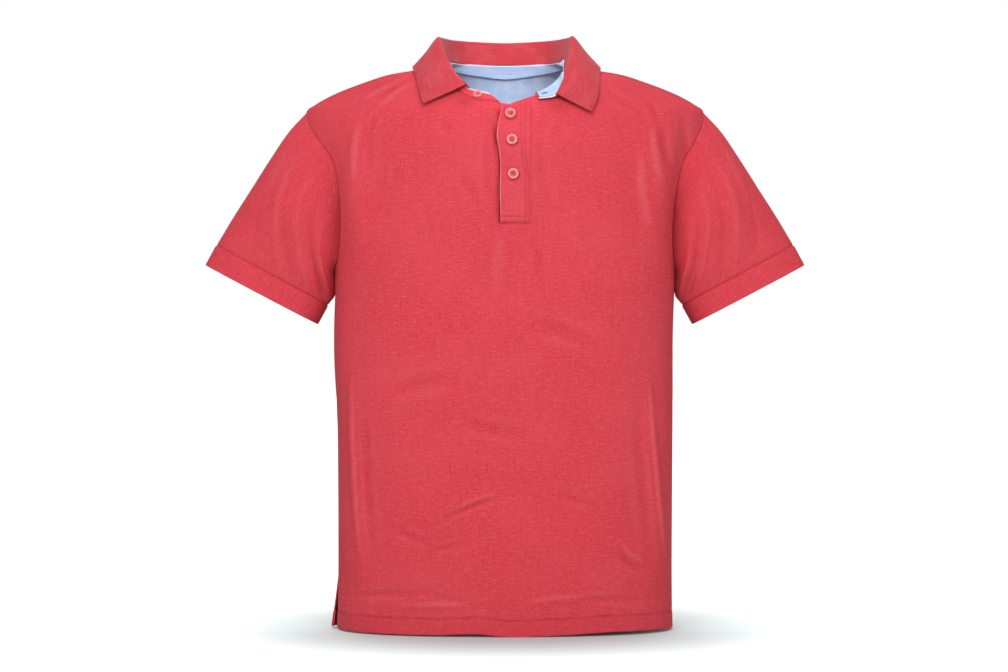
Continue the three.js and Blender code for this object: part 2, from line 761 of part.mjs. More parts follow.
// Edge of the panels at the neck: straight between their points, as the walls are.
function neckEdge(at) {
  const side = at < 0 ? -1 : 1;
  const size = Math.abs(at);
  const isFront = size > neckSideAt;
  const cells = (isFront ? frontColumns : backColumns) - shoulderSteps;
  const reach = isFront ? (size - neckSideAt) / (1 - neckSideAt) : 1 - size / neckSideAt;
  const cell = Math.min(Math.floor(reach * cells), cells - 1);
  const ends = [cell, cell + 1].map((k) => necklinePattern(side, isFront, k / cells));
  const before = onBody(ends[0]);
  const after = onBody(ends[1]);
  const share = reach * cells - cell;
  const edge = before.clone().lerp(after, share);
  const normal = normalOnBody(ends[0]).lerp(normalOnBody(ends[1]), share).normalize();
  const across = new THREE.Vector3().crossVectors(after.sub(before), normal).normalize();
  if (across.dot(new THREE.Vector3(-edge.x, -edge.y, 0)) < 0) {
    across.negate();
  }
  return edge.addScaledVector(across, neckSeat).addScaledVector(normal, 2 * seamGap);
}

function bandTop(at) {
  return new THREE.Vector3(
    smoothColumn(collarStations, 'at', 'bandX', at),
    smoothColumn(collarStations, 'at', 'bandY', at),
    smoothColumn(collarStations, 'at', 'bandZ', at),
  );
}

function bandSurface(at, up) {
  return neckEdge(at).lerp(bandTop(at), up);
}

// Normal of the neckband where it is half way up, with its sewn ends held straight.
function bandNormal(at) {
  const held = THREE.MathUtils.clamp(at, -0.94, 0.94);
  return surfaceNormal(bandSurface, held, 0.5, 0.03, 0.4).negate();
}

// Layer of the neckband: a strip from the neckline up to the collar seam.
function bandLayer(offset, thickness, end) {
  const grid = [0, 0.5, 1].map((up) => {
    const row = [];
    for (let j = 0; j <= bandSteps; j += 1) {
      const at = THREE.MathUtils.lerp(-end, end, j / bandSteps);
      const normal = bandNormal(at);
      const outer = bandSurface(at, up).addScaledVector(normal, -offset);
      row.push({ outer, inner: outer.clone().addScaledVector(normal, -thickness) });
    }
    return row;
  });
  return wallGeometry(grid, () => true, false);
}

function leafColumn(name, at) {
  return new THREE.Vector3(
    smoothColumn(leafStations, 'at', `${name}X`, at),
    smoothColumn(leafStations, 'at', `${name}Y`, at),
    smoothColumn(leafStations, 'at', `${name}Z`, at),
  );
}

// Section of the collar: up from the band, over the fold, and down to the edge of the fall.
function collarSection(at) {
  const top = bandTop(at);
  const fold = leafColumn('fold', at);
  const edge = leafColumn('edge', at);
  const toBand = top.clone().sub(fold).normalize();
  const bandUp = top.clone().sub(neckEdge(at)).normalize();
  const bend = 1 - Math.max(-bandUp.dot(toBand), 0) ** 2;
  const clear = seamGap + collarStartClear + collarThickness * Math.sqrt(bend);
  const start = top.clone().addScaledVector(bandUp, clear);
  const toEdge = edge.clone().sub(fold).normalize();
  const aside = toEdge.clone().addScaledVector(toBand, -toEdge.dot(toBand)).normalize();
  const inside = fold.clone().addScaledVector(toBand, foldRadius);
  inside.addScaledVector(aside, -foldInnerSide);
  const outside = fold.clone().addScaledVector(toEdge, foldRadius);
  outside.addScaledVector(aside, foldOuterSide);
  const middle = outside.clone().lerp(edge, 0.5);
  middle.addScaledVector(aside, smoothColumn(leafStations, 'at', 'bow', at));
  const points = [start, start.clone().lerp(inside, 0.5), inside, fold, outside, middle, edge];
  return new THREE.CatmullRomCurve3(points, false, 'centripetal');
}

function collarWall() {
  const across = [0, 0.09, 0.18, 0.28, 0.36, 0.44, 0.52, 0.64, 0.76, 0.88, 1];
  const mid = [];
  for (let j = 0; j <= collarSteps; j += 1) {
    const at = THREE.MathUtils.lerp(-collarReach, collarReach, j / collarSteps);
    const section = collarSection(at);
    mid.push(across.map((s) => section.getPointAt(s)));
  }
  const grid = mid.map((line, j) => line.map((point, i) => {
    const nextLine = mid[Math.min(j + 1, collarSteps)][i];
    const lastLine = mid[Math.max(j - 1, 0)][i];
    const next = line[Math.min(i + 1, across.length - 1)];
    const last = line[Math.max(i - 1, 0)];
    const normal = nextLine.clone().sub(lastLine).cross(next.clone().sub(last)).normalize();
    return {
      outer: point.clone().addScaledVector(normal, collarThickness / 2),
      inner: point.clone().addScaledVector(normal, -collarThickness / 2),
    };
  }));
  return wallGeometry(grid, () => true, false);
}

// Patch of cloth laid on the front or inside the back, made from the points of that panel.
function patchOn(face, rows, columns, edges, low, high) {
  const grid = [];
  for (let i = 0; i <= rows; i += 1) {
    const row = [];
    for (let j = 0; j <= columns; j += 1) {
      const spot = edges(j / columns, i / rows);
      const where = place(face, spot.x, spot.z);
      const point = body(where.turn, where.up);
      const normal = bodyNormal(where.turn, where.up);
      row.push({
        outer: point.clone().addScaledVector(normal, high),
        inner: point.clone().addScaledVector(normal, low),
      });
    }
    grid.push(row);
  }
  return wallGeometry(grid, () => true, false);
}

// Free edge of the upper placket, which waves a little, and its slanting top at the neck.
const placketEdgeRows = [
  { z: -200, x: -5.5 },
  { z: -160, x: -6.5 },
  { z: -128, x: -6 },
  { z: -106, x: -7.5 },
  { z: -88, x: -10.5 },
  { z: -64, x: -7.5 },
  { z: -50, x: -4 },
];
const placketTopLeftZ = -49;
const placketTopMiddleZ = -44.5;
const placketTopTurn = 0.35;
const placketOverlap = 2;
const underPlacketRightTopZ = -47;
const underPlacketDrop = 0.4;

function placketTopZ(u) {
  if (u < placketTopTurn) {
    return THREE.MathUtils.lerp(placketTopLeftZ, placketTopMiddleZ, u / placketTopTurn);
  }
  const rightZ = neckFrontRightRows[neckFrontRightRows.length - 1].z - 1;
  const share = (u - placketTopTurn) / (1 - placketTopTurn);
  return THREE.MathUtils.lerp(placketTopMiddleZ, rightZ, share);
}

function upperPlacket() {
  return patchOn('front', 14, 4, (u, v) => {
    const z = THREE.MathUtils.lerp(placketEndZ, placketTopZ(u), v);
    const left = smoothColumn(placketEdgeRows, 'z', 'x', z);
    return { x: THREE.MathUtils.lerp(left, placketRightX + placketOverlap, u), z };
  }, seamGap, seamGap + placketThickness);
}

function underPlacket() {
  return patchOn('front', 10, 3, (u, v) => {
    const x = THREE.MathUtils.lerp(placketLeftX + seamGap, placketRightX - seamGap, u);
    const leftTopZ = neckFrontLeftRows[neckFrontLeftRows.length - 1].z;
    const top = THREE.MathUtils.lerp(leftTopZ, underPlacketRightTopZ, u);
    return { x, z: THREE.MathUtils.lerp(placketSlotZ + seamGap, top, v) };
  }, -clothThickness - underPlacketDrop, -seamGap - underPlacketDrop);
}

// Half-moon facing inside the back of the neck, made from the points of the back.
const facingDepth = 96;
const facingClear = 1.5;
const facingInset = 3;
const facingRoundness = 0.97;
const facingSteps = 8;

function neckFacing() {
  const grid = backGrid();
  const top = grid.length - 1;
  const first = shoulderSteps + 1;
  const last = grid[0].length - 1 - first;
  const rows = [];
  for (let i = 0; i <= facingSteps; i += 1) {
    const row = [];
    for (let j = first; j <= last; j += 1) {
      const aside = (2 * (j - first)) / (last - first) - 1;
      const round = Math.sqrt(1 - facingRoundness * aside ** 2);
      const depth = facingDepth * round * (1 - i / facingSteps) + facingInset;
      let k = top;
      let left = depth;
      let length = grid[k][j].inner.distanceTo(grid[k - 1][j].inner);
      while (left > length) {
        left -= length;
        k -= 1;
        length = grid[k][j].inner.distanceTo(grid[k - 1][j].inner);
      }
      const share = left / length;
      const high = grid[k][j];
      const low = grid[k - 1][j];
      const inner = high.inner.clone().lerp(low.inner, share);
      const outer = high.outer.clone().lerp(low.outer, share);
      const inwards = inner.clone().sub(outer).normalize();
      row.push({
        outer: inner.clone().addScaledVector(inwards, facingClear),
        inner: inner.clone().addScaledVector(inwards, facingClear + liningThickness),
      });
    }
    rows.push(row);
  }
  return wallGeometry(rows, () => true, false);
}

// Sew-through button with a raised rim and a dished middle, turned to lie on the cloth.
function buttonShape(diameter) {
  const radius = diameter / 2;
  const dishHeight = (buttonHeight - buttonDish) / buttonHeight;
  const profile = [
    { out: 0, up: 0 },
    { out: 0.82, up: 0 },
    { out: 1, up: 0.4 },
    { out: 0.93, up: 0.85 },
    { out: 0.76, up: 1 },
    { out: 0.55, up: dishHeight },
    { out: 0, up: dishHeight },
  ];
  return new THREE.LatheGeometry(
    profile.map((row) => new THREE.Vector2(row.out * radius, row.up * buttonHeight)),
    buttonSegments,
  );
}

const shirt = new THREE.Group();

function cloth(colour) {
  return new THREE.MeshStandardMaterial({ color: colour, roughness: 0.95, metalness: 0 });
}

function addMesh(name, geometry, material) {
  const mesh = new THREE.Mesh(geometry, material);
  mesh.name = name;
  shirt.add(mesh);
  return mesh;
}

addMesh('front', frontPanel(), cloth(redCloth));
addMesh('back', wallGeometry(backGrid(), () => true, false), cloth(redCloth));
addMesh('sleeve_left', sleeveTube(-1), cloth(redCloth));
addMesh('sleeve_right', sleeveTube(1), cloth(redCloth));
addMesh('cuff_left', cuffTube(-1), cloth(redCloth));
addMesh('cuff_right', cuffTube(1), cloth(redCloth));
addMesh('neckband', bandLayer(0, bandThickness, bandEnd), cloth(redCloth));
addMesh(
  'neckband_lining',
  bandLayer(bandThickness + seamGap, liningThickness, liningEnd),
  cloth(blueCloth),
);
addMesh('collar', collarWall(), cloth(redCloth));
addMesh('back_neck_facing', neckFacing(), cloth(blueCloth));
addMesh('placket_upper', upperPlacket(), cloth(redCloth));
addMesh('placket_under', underPlacket(), cloth(redCloth));

// Three buttons hold the placket closed, the fourth sits on the open neckband.
const placketButtons = [
  { name: 'button_top', x: 7, z: -58.5 },
  { name: 'button_middle', x: 9, z: -92.5 },
  { name: 'button_low', x: 10.5, z: -137 },
];

function seatButton(mesh, point, normal, lift) {
  mesh.position.copy(point).addScaledVector(normal, lift);
  mesh.quaternion.setFromUnitVectors(new THREE.Vector3(0, 1, 0), normal);
}

for (const spot of placketButtons) {
  const plastic = new THREE.MeshStandardMaterial({ color: buttonPink, roughness: 0.35, metalness: 0 });
  const mesh = addMesh(spot.name, buttonShape(buttonDiameter), plastic);
  const where = place('front', spot.x, spot.z);
  const lift = 2 * seamGap + placketThickness;
  seatButton(mesh, body(where.turn, where.up), bodyNormal(where.turn, where.up), lift);
}

const collarButtonAt = -0.935;
const collarButtonMesh = addMesh(
  'button_collar',
  buttonShape(collarButtonDiameter),
  new THREE.MeshStandardMaterial({ color: buttonPink, roughness: 0.35, metalness: 0 }),
);
seatButton(
  collarButtonMesh,
  bandSurface(collarButtonAt, 0.5),
  bandNormal(collarButtonAt),
  seamGap,
);

export default shirt;
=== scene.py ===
import math
import bpy
import numpy as np
from mathutils import Matrix, Vector


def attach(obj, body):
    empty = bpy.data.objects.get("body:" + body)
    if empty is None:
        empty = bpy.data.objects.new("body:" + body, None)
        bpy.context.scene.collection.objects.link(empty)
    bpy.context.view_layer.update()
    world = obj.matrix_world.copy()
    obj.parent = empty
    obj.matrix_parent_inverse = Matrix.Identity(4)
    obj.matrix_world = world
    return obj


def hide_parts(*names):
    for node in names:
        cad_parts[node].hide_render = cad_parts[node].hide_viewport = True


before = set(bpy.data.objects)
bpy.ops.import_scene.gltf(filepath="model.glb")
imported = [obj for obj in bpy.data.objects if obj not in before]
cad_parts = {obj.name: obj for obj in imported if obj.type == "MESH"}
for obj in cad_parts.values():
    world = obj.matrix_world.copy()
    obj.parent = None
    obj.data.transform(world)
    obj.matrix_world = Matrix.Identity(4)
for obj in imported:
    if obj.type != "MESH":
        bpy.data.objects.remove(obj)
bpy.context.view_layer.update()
scene = bpy.context.scene
bpy.ops.object.select_all(action='DESELECT')

# Studio: a camera level with the middle of the shirt, a pale floor just under the hem,
# and plain soft light from all round, above and in front.
photo_width_px = 1008
mm_per_px = 1.33
camera_away = 3.8
camera_z = -0.346
axis_px = 505
floor_z = -0.7345
floor_far_glow = 0.75
glow_starts = 0.13
glow_full = 0.56

scene.view_settings.view_transform = 'Standard'
scene.view_settings.look = 'None'

camera_data = bpy.data.cameras.new('camera')
camera_data.sensor_width = 36
camera_data.lens = 36 * camera_away * 1000 / (photo_width_px * mm_per_px)
camera_data.clip_end = 60
camera = bpy.data.objects.new('camera', camera_data)
scene.collection.objects.link(camera)
camera.location = ((photo_width_px / 2 - axis_px) * mm_per_px / 1000, -camera_away, camera_z)
camera.rotation_euler = (math.radians(90), 0, 0)
scene.camera = camera

bpy.ops.mesh.primitive_circle_add(
    vertices=96, radius=14, fill_type='NGON', location=(0, 0, floor_z))
floor = bpy.context.object
floor.name = 'studio_floor'


def new_material(name, roughness):
    material = bpy.data.materials.new(name)
    material.use_nodes = True
    shader = material.node_tree.nodes['Principled BSDF']
    shader.inputs['Roughness'].default_value = roughness
    return material, material.node_tree, shader


# The floor glows for camera rays only, none near the shirt and more with distance from it: painted
# light that whitens the far floor and leaves it darker round the shirt, a painted shade over its
# cast shadow. Its faintly cyan base cancels the red light the shirt throws onto it.
floor_paint, floor_tree, floor_shader = new_material('pale_floor', 0.9)
floor_shader.inputs['Base Color'].default_value = (0.62, 0.73, 0.725, 1)
floor_shader.inputs['Emission Color'].default_value = (1, 1, 1, 1)
floor_shader.inputs['Specular IOR Level'].default_value = 0.1
floor_seen = floor_tree.nodes.new('ShaderNodeLightPath')
floor_place = floor_tree.nodes.new('ShaderNodeTexCoord')
floor_reach = floor_tree.nodes.new('ShaderNodeVectorMath')
floor_reach.operation = 'LENGTH'
floor_spread = floor_tree.nodes.new('ShaderNodeMapRange')
floor_spread.interpolation_type = 'SMOOTHSTEP'
floor_spread.inputs['From Min'].default_value = glow_starts
floor_spread.inputs['From Max'].default_value = glow_full
floor_spread.inputs['To Max'].default_value = floor_far_glow
floor_lift = floor_tree.nodes.new('ShaderNodeMath')
floor_lift.operation = 'MULTIPLY'
for output, socket in ((floor_place.outputs['Object'], floor_reach.inputs[0]),
                       (floor_reach.outputs['Value'], floor_spread.inputs['Value']),
                       (floor_seen.outputs['Is Camera Ray'], floor_lift.inputs[0]),
                       (floor_spread.outputs['Result'], floor_lift.inputs[1]),
                       (floor_lift.outputs[0], floor_shader.inputs['Emission Strength'])):
    floor_tree.links.new(output, socket)
floor.data.materials.append(floor_paint)

world = bpy.data.worlds.new('studio')
scene.world = world
world.use_nodes = True
world_nodes = world.node_tree.nodes
world_links = world.node_tree.links
sky = world_nodes['Background']
sky.inputs['Color'].default_value = (1, 1, 1, 1)
sky.inputs['Strength'].default_value = 0.39
white = world_nodes.new('ShaderNodeBackground')
white.inputs['Color'].default_value = (1, 1, 1, 1)
white.inputs['Strength'].default_value = 1.0
seen = world_nodes.new('ShaderNodeLightPath')
choose = world_nodes.new('ShaderNodeMixShader')
world_links.new(seen.outputs['Is Camera Ray'], choose.inputs[0])
world_links.new(sky.outputs[0], choose.inputs[1])
world_links.new(white.outputs[0], choose.inputs[2])
world_links.new(choose.outputs[0], world_nodes['World Output'].inputs['Surface'])


def add_lamp(name, kind, power, **settings):
    light = bpy.data.lights.new(name, kind)
    light.energy = power
    for label, value in settings.items():
        setattr(light, label, value)
    lamp = bpy.data.objects.new(name, light)
    scene.collection.objects.link(lamp)
    return lamp


def aim_lamp(lamp, place, aim):
    lamp.location = place
    lamp.rotation_euler = (Vector(aim) - Vector(place)).to_track_quat('-Z', 'Y').to_euler()


overhead = add_lamp('overhead', 'SUN', 1.1, angle=math.radians(34))
overhead.rotation_euler = (math.radians(-21), 0, 0)
for name, power, width, height, place in (('high_box', 39, 2.6, 1.2, (-0.3, -2.6, 1.9)),
                                          ('front_fill', 43, 3.4, 0.8, (0.05, -3.1, 0.45))):
    box = add_lamp(name, 'AREA', power, shape='RECTANGLE', size=width, size_y=height)
    aim_lamp(box, place, (0, 0, -0.1))

# A narrow soft beam that passes over the front of the neck to the lining behind it.
beam = add_lamp('neck_beam', 'SPOT', 400, spot_size=math.radians(3.8), spot_blend=0.9,
                shadow_soft_size=0.12)
aim_lamp(beam, (0.02, -2.2, 0.85), (0.004, 0.09, -0.008))

# Front of the shirt: one panel of slubbed red jersey from shoulders to hem, with a slot down
# its middle for the placket. It is sewn at the sides, armholes and shoulders, and its hem is
# turned up 20 mm inside.
seam_pitch = 190
hem_z = -731
vent_top_z = -662
armpit_z = -258
placket_left_x = -6
placket_right_x = 30
placket_slot_z = -190
placket_end_z = -200
hem_depth = 20
jersey_thickness = 1.1

# Horizontal sections of the worn body, in millimetres: height, half width, depth of the
# front and of the back from the side seam, and how square each half is.
levels = np.array([
    (-731, 222, 118, 110, 2.3, 2.4),
    (-660, 221, 119, 110, 2.3, 2.4),
    (-520, 220.5, 120, 111, 2.3, 2.4),
    (-400, 221.5, 122, 115, 2.3, 2.4),
    (-300, 224, 124, 121, 2.3, 2.4),
    (-235, 229, 123, 125, 2.3, 2.4),
    (-175, 238, 119, 127, 2.25, 2.3),
    (-120, 251, 112, 123, 2.2, 2.2),
    (-85, 262, 104, 117, 2.15, 2.1),
    (-62, 266, 96, 111, 2.1, 2),
    (-48, 263, 88, 107, 2.1, 1.9),
    (-38, 251, 79, 104, 2, 1.8),
    (-24, 225, 62, 97, 2, 1.7),
    (-7, 181, 42, 90, 2, 1.6),
    (1, 156, 32, 86, 2, 1.6),
    (7, 122, 22, 80, 2, 1.6),
    (14, 82, 12, 58, 2, 1.8),
])
level_up = np.concatenate(
    ([0], np.cumsum(np.hypot(np.diff(levels[:, 0]), np.diff(levels[:, 1])))))


def smooth_column(keys, values, at):
    """Smooth curve through a table's column, with no overshoot between its rows."""
    keys = np.asarray(keys, float)
    values = np.asarray(values, float)
    at = np.asarray(at, float)
    slopes = np.diff(values) / np.diff(keys)
    tangents = np.empty(len(keys))
    tangents[0] = slopes[0]
    tangents[-1] = slopes[-1]
    before, after = slopes[:-1], slopes[1:]
    product = before * after
    total = np.where(product > 0, before + after, 1)
    tangents[1:-1] = np.where(product > 0, 2 * product / total, 0)
    i = np.clip(np.searchsorted(keys, at, side='right') - 1, 0, len(keys) - 2)
    span = keys[i + 1] - keys[i]
    s = np.clip((at - keys[i]) / span, 0, 1)
    return ((2 * s**3 - 3 * s**2 + 1) * values[i] + (s**3 - 2 * s**2 + s) * span * tangents[i]
            + (3 * s**2 - 2 * s**3) * values[i + 1] + (s**3 - s**2) * span * tangents[i + 1])


up_samples = np.linspace(0, level_up[-1], 4000)
height_samples = smooth_column(level_up, levels[:, 0], up_samples)


def up_at_height(z):
    return np.interp(z, height_samples, up_samples)


def body_form(turn, up):
    """Worn body without folds: turn 0 is the front centre, half a turn the back centre."""
    turn, up = np.broadcast_arrays(np.asarray(turn, float), np.asarray(up, float))
    z, half, front, back, square_front, square_back = (
        smooth_column(level_up, levels[:, k], up) for k in range(6))
    in_front = np.abs(turn) <= math.pi / 2
    square = np.where(in_front, square_front, square_back)
    depth = np.where(in_front, front, back)
    s, c = np.sin(turn), np.cos(turn)
    reach = (np.abs(s)**square + np.abs(c)**square)**(-1 / square)
    return np.stack((half * s * reach, -depth * c * reach, z), -1)


def hump(distance, width):
    """One at zero distance, fading smoothly to none on both sides."""
    return np.exp(-(distance / width)**2)


def table_columns(table, at, columns):
    """Smooth values of some columns of a table, whose first column holds the places."""
    return [smooth_column(table[:, 0], table[:, k], at) for k in columns]


def unit(vectors):
    return vectors / np.maximum(np.linalg.norm(vectors, axis=-1, keepdims=True), 1e-9)


def surface_normal(surface, a, b, step_a, step_b):
    along_a = surface(a + step_a, b) - surface(a - step_a, b)
    along_b = surface(a, b + step_b) - surface(a, b - step_b)
    return unit(np.cross(along_a, along_b))


# Folds of the front and back as seen from the front, in millimetres: both ends of each line,
# how far its middle bows aside, its half width, its height, and how much one side is steeper.
body_folds = {
    'front': [
        (-236, -75, -214, -250, 0, 20, -5, 0),
        (238, -80, 226, -250, 0, 18, -7, 0),
        (-205, -95, -190, -240, 0, 22, 5, 0),
        (208, -90, 196, -240, 0, 22, 5, 0),
        (-208, -330, -186, -690, 0, 20, 4, 0),
        (208, -380, 190, -690, 0, 20, 4, 0),
        (-150, -60, -185, -200, 0, 24, -4, 0),
        (150, -60, 190, -180, 0, 24, -4, 0),
        (-232, -290, -224, -430, 0, 26, 4, 0),
        (-30, -560, 60, -640, 0, 34, 3, 0),
        (-119, -6, -160, -34, 3, 5, -2.2, 0.3),
        (-128, -14, -174, -66, 4, 7, 2.0, 0),
        (-140, -10, -188, -38, 2, 6, 1.8, 0),
        (-150, -34, -178, -92, 5, 6, -2.0, -0.3),
        (-188, -62, -196, -150, 4, 9, 2.2, 0),
        (-178, -70, -182, -160, -4, 8, -1.8, 0.3),
        (126, -20, 176, -50, 3, 8, -1.6, 0),
        (186, -38, 200, -66, 0, 7, -2.4, 0.3),
        (203, -68, 216, -130, 3, 8, -3.0, -0.3),
        (192, -70, 204, -150, 3, 9, 2.2, 0),
        (232, -58, 240, -138, 0, 8, -3.0, 0),
        (178, -100, 190, -210, 6, 12, 2.0, 0),
        (-84, -585, -6, -553, -3, 5, -3.0, 0.4),
        (-70, -575, -10, -548, -3, 6, 2.0, 0),
        (-98, -622, -52, -612, 2, 5, -2.2, 0.3),
        (-150, -590, -95, -612, 3, 8, -2.0, 0),
        (66, -552, 120, -568, -3, 7, -2.0, 0),
        (148, -624, 178, -652, 5, 5, -3.0, 0.4),
        (150, -612, 184, -640, 5, 6, 2.0, 0),
        (-208, -686, -108, -680, -3, 6, -2.0, 0.2),
        (-150, -694, -10, -684, 3, 6, 1.8, 0),
        (-120, -672, -20, -690, 4, 7, -1.8, 0),
        (20, -690, 150, -680, -3, 7, 1.8, 0),
        (70, -676, 200, -690, 3, 7, -1.8, 0),
        (-60, -452, 26, -470, 4, 12, -1.8, 0),
        (30, -330, 120, -360, -6, 14, -1.8, 0),
        (-150, -420, -60, -398, -5, 14, -1.8, 0),
        (-200, -400, -188, -640, 3, 5, 3.2, -0.4),
        (-182, -430, -168, -650, 3, 9, -2.0, 0),
        (188, -400, 211, -640, 3, 5, 3.2, 0.4),
        (172, -430, 190, -650, 4, 10, -2.0, 0),
        (-60, -120, -26, -182, 3, 9, -1.0, 0),
        (-22, -70, -18, -180, 2, 9, -1.6, 0),
        (44, -70, 48, -190, -2, 12, -1.0, 0),
        (-4, -206, -10, -300, 3, 14, 1.0, 0),
        (34, -206, 44, -290, -3, 12, -0.9, 0),
        (-84, -58, -60, -84, 4, 10, -1.4, 0),
        (72, -58, 56, -96, -4, 10, -1.4, 0),
    ],
    'back': [
        (-222, -90, -212, -250, 0, 20, -9, 0),
        (222, -90, 212, -250, 0, 20, -9, 0),
        (-190, -95, -175, -300, 0, 24, 6, 0),
        (186, -110, 172, -330, 0, 24, 6, 0),
        (-70, -430, -100, -700, 0, 34, -5, 0),
        (60, -400, 84, -700, 0, 34, -5, 0),
        (-205, -400, -190, -690, 0, 22, 4, 0),
        (205, -380, 192, -690, 0, 22, 4, 0),
        (-232, -290, -224, -430, 0, 26, 4, 0),
        (-130, -20, -176, -80, 5, 9, -2.0, 0.2),
        (124, -18, 178, -70, 5, 9, -2.0, 0.2),
        (-168, -110, -186, -230, 6, 10, -2.4, 0.3),
        (170, -120, 190, -240, 6, 10, -2.4, 0.3),
        (-60, -60, 70, -66, -14, 12, -1.4, 0),
        (-88, -96, 40, -108, -10, 12, 1.2, 0),
        (-120, -470, -30, -500, 8, 11, -1.5, 0.2),
        (36, -520, 130, -486, -8, 11, -1.5, 0.2),
        (-150, -610, -70, -588, 5, 8, -1.5, 0.3),
        (60, -634, 150, -606, -5, 8, -1.4, 0.3),
        (-40, -580, 30, -600, 4, 8, 1.1, 0),
        (-190, -684, -60, -690, -3, 7, -1.1, 0),
        (10, -686, 180, -682, 3, 7, 1.0, 0),
        (-20, -240, 30, -420, 6, 16, -1.6, 0),
        (-110, -260, -130, -420, 6, 16, 1.6, 0),
        (108, -280, 126, -430, -6, 16, 1.6, 0),
    ],
}


def fold_line(row, x, z):
    """Share along a fold's line, kept between its ends, and distances aside and past them."""
    x0, z0, x1, z1, bow = row[:5]
    run_x, run_z = x1 - x0, z1 - z0
    length = math.hypot(run_x, run_z)
    along = ((x - x0) * run_x + (z - z0) * run_z) / length**2
    held = np.clip(along, 0, 1)
    side = ((x - x0) * run_z - (z - z0) * run_x) / length - bow * 4 * held * (1 - held)
    return held, side, (along - held) * length


def fold_height(face, x, z):
    out = np.zeros(np.shape(x))
    for row in body_folds[face]:
        width, height, lean = row[5:]
        held, side, past = fold_line(row, x, z)
        wide = width * (1 + lean * np.tanh(side / width))
        out += height * (0.25 + 0.75 * np.sin(math.pi * held)) * hump(np.hypot(side, past), wide)
    return out


def fold_painted_light(face, x, z):
    """Painted light of the narrow folds: painted highlight, above zero, on their ridges, and
    painted shade, below zero, in their valleys.
    """
    out = np.zeros(np.shape(x))
    narrow, smallest = 15, 0.8
    for row in body_folds[face]:
        width, height = row[5:7]
        if width > narrow or abs(height) < smallest:
            continue
        held, side, past = fold_line(row, x, z)
        away = np.hypot(side, past)
        thin = 0.5 * width
        line = hump(away, thin) - 0.35 * hump(away - width, thin)
        out += height * np.sin(math.pi * held) * line
    return out


def body(turn, up):
    """Worn body with its folds, those of the front and back meeting at the side seams."""
    point = body_form(turn, up)
    normal = surface_normal(body_form, turn, up, 0.01, 2)
    in_front = np.clip((math.pi / 2 + 0.07 - np.abs(turn)) / 0.14, 0, 1)
    in_front = in_front**2 * (3 - 2 * in_front)
    x, z = point[..., 0], point[..., 2]
    out = fold_height('front', x, z) * in_front + fold_height('back', x, z) * (1 - in_front)
    return point + normal * out[..., None]


def place(face, x, z):
    """Pattern point, turn times pitch and height up the cloth, of a spot seen from the front."""
    x, z = np.broadcast_arrays(np.asarray(x, float), np.asarray(z, float))
    up = up_at_height(z)
    low, high = np.zeros(x.shape), np.full(x.shape, math.pi / 2)
    for _ in range(40):
        middle = (low + high) / 2
        turn = middle if face == 'front' else math.pi - middle
        short = body_form(turn, up)[..., 0] < np.abs(x)
        low = np.where(short, middle, low)
        high = np.where(short, high, middle)
    turn = (low + high) / 2
    turn = turn if face == 'front' else math.pi - turn
    return np.stack((np.where(x < 0, -1, 1) * turn * seam_pitch, up), -1)


def on_body(pattern):
    return body(pattern[..., 0] / seam_pitch, pattern[..., 1])


def normal_on_body(pattern):
    return surface_normal(body, pattern[..., 0] / seam_pitch, pattern[..., 1], 0.012, 2.4)


def run_lengths(line):
    return np.concatenate(([0], np.cumsum(np.linalg.norm(np.diff(line, axis=0), axis=1))))


def read_rows(at, keys, rows):
    """Rows between those given, each column read at the places wanted."""
    return np.stack([np.interp(at, keys, rows[:, k]) for k in range(rows.shape[1])], -1)


def spline(points, steps=60):
    """Smooth line through points, then read by its share of the length."""
    points = np.asarray(points, float)
    padded = np.concatenate((points[:1], points, points[-1:]))
    t = np.linspace(0, 1, steps, endpoint=False)[:, None]
    line = []
    for i in range(len(points) - 1):
        p0, p1, p2, p3 = padded[i:i + 4]
        v0, v1 = (p2 - p0) / 2, (p3 - p1) / 2
        line.append((2 * p1 - 2 * p2 + v0 + v1) * t**3
                    + (-3 * p1 + 3 * p2 - 2 * v0 - v1) * t**2 + v0 * t + p1)
    line = np.concatenate(line + [points[-1:]])
    lengths = run_lengths(line)
    return lambda share: read_rows(np.asarray(share, float) * lengths[-1], lengths, line)


# Seams: armhole distances from the centre line at each height (front left, front right,
# back), the shoulder seam's turn at each height, and the necklines.
armhole_rows = [
    (-252, 223, 225, 225.5),
    (-232, 220, 224, 224),
    (-200, 219, 225, 226),
    (-165, 219.5, 229, 231),
    (-135, 223, 235, 238),
    (-112, 231, 242, 245),
    (-86, 248, 253, 254),
    (-63, 260.5, 262, 264),
]
shoulder_rows = [(-48, 82), (-24, 76), (-7, 72), (7, 66), (14, 60)]
neck_left_rows = [(-80, 2), (-72, -13), (-60, -26), (-46, -35), (-31, -39), (-18, -39), (-6, -41)]
neck_right_rows = [(80, 2), (73, -8), (64, -17), (53, -25), (42, -31), (30, -35)]
neck_back_rows = [(90, 13.5), (125, 11.5), (155, 9), (180, 8)]


def seam_lines(side):
    def turned(rows):
        return [(side * math.radians(turn) * seam_pitch, up_at_height(z)) for z, turn in rows]
    column = 1 if side < 0 else 2
    side_seam = (side * math.pi / 2 * seam_pitch, up_at_height(armpit_z))
    shoulder = turned(shoulder_rows)
    lines = {'shoulder': spline(shoulder)}
    for face, k in (('front', column), ('back', 3)):
        rows = [place(face, side * row[k], row[0]) for row in armhole_rows]
        lines['armhole_' + face] = spline([side_seam] + rows + [shoulder[0]])
    neck_rows = neck_left_rows if side < 0 else neck_right_rows
    rows = [place('front', x, z) for x, z in neck_rows]
    lines['neck_front'] = spline([shoulder[-1]] + rows)
    back_rows = turned([(z, turn) for turn, z in neck_back_rows])
    lines['neck_back'] = spline([shoulder[-1]] + back_rows)
    return lines


seams = {-1: seam_lines(-1), 1: seam_lines(1)}
side_rows = 20
armhole_rows_count = 12
all_rows = side_rows + armhole_rows_count
shoulder_share = {'front': 6 / 14, 'back': 6 / 12}


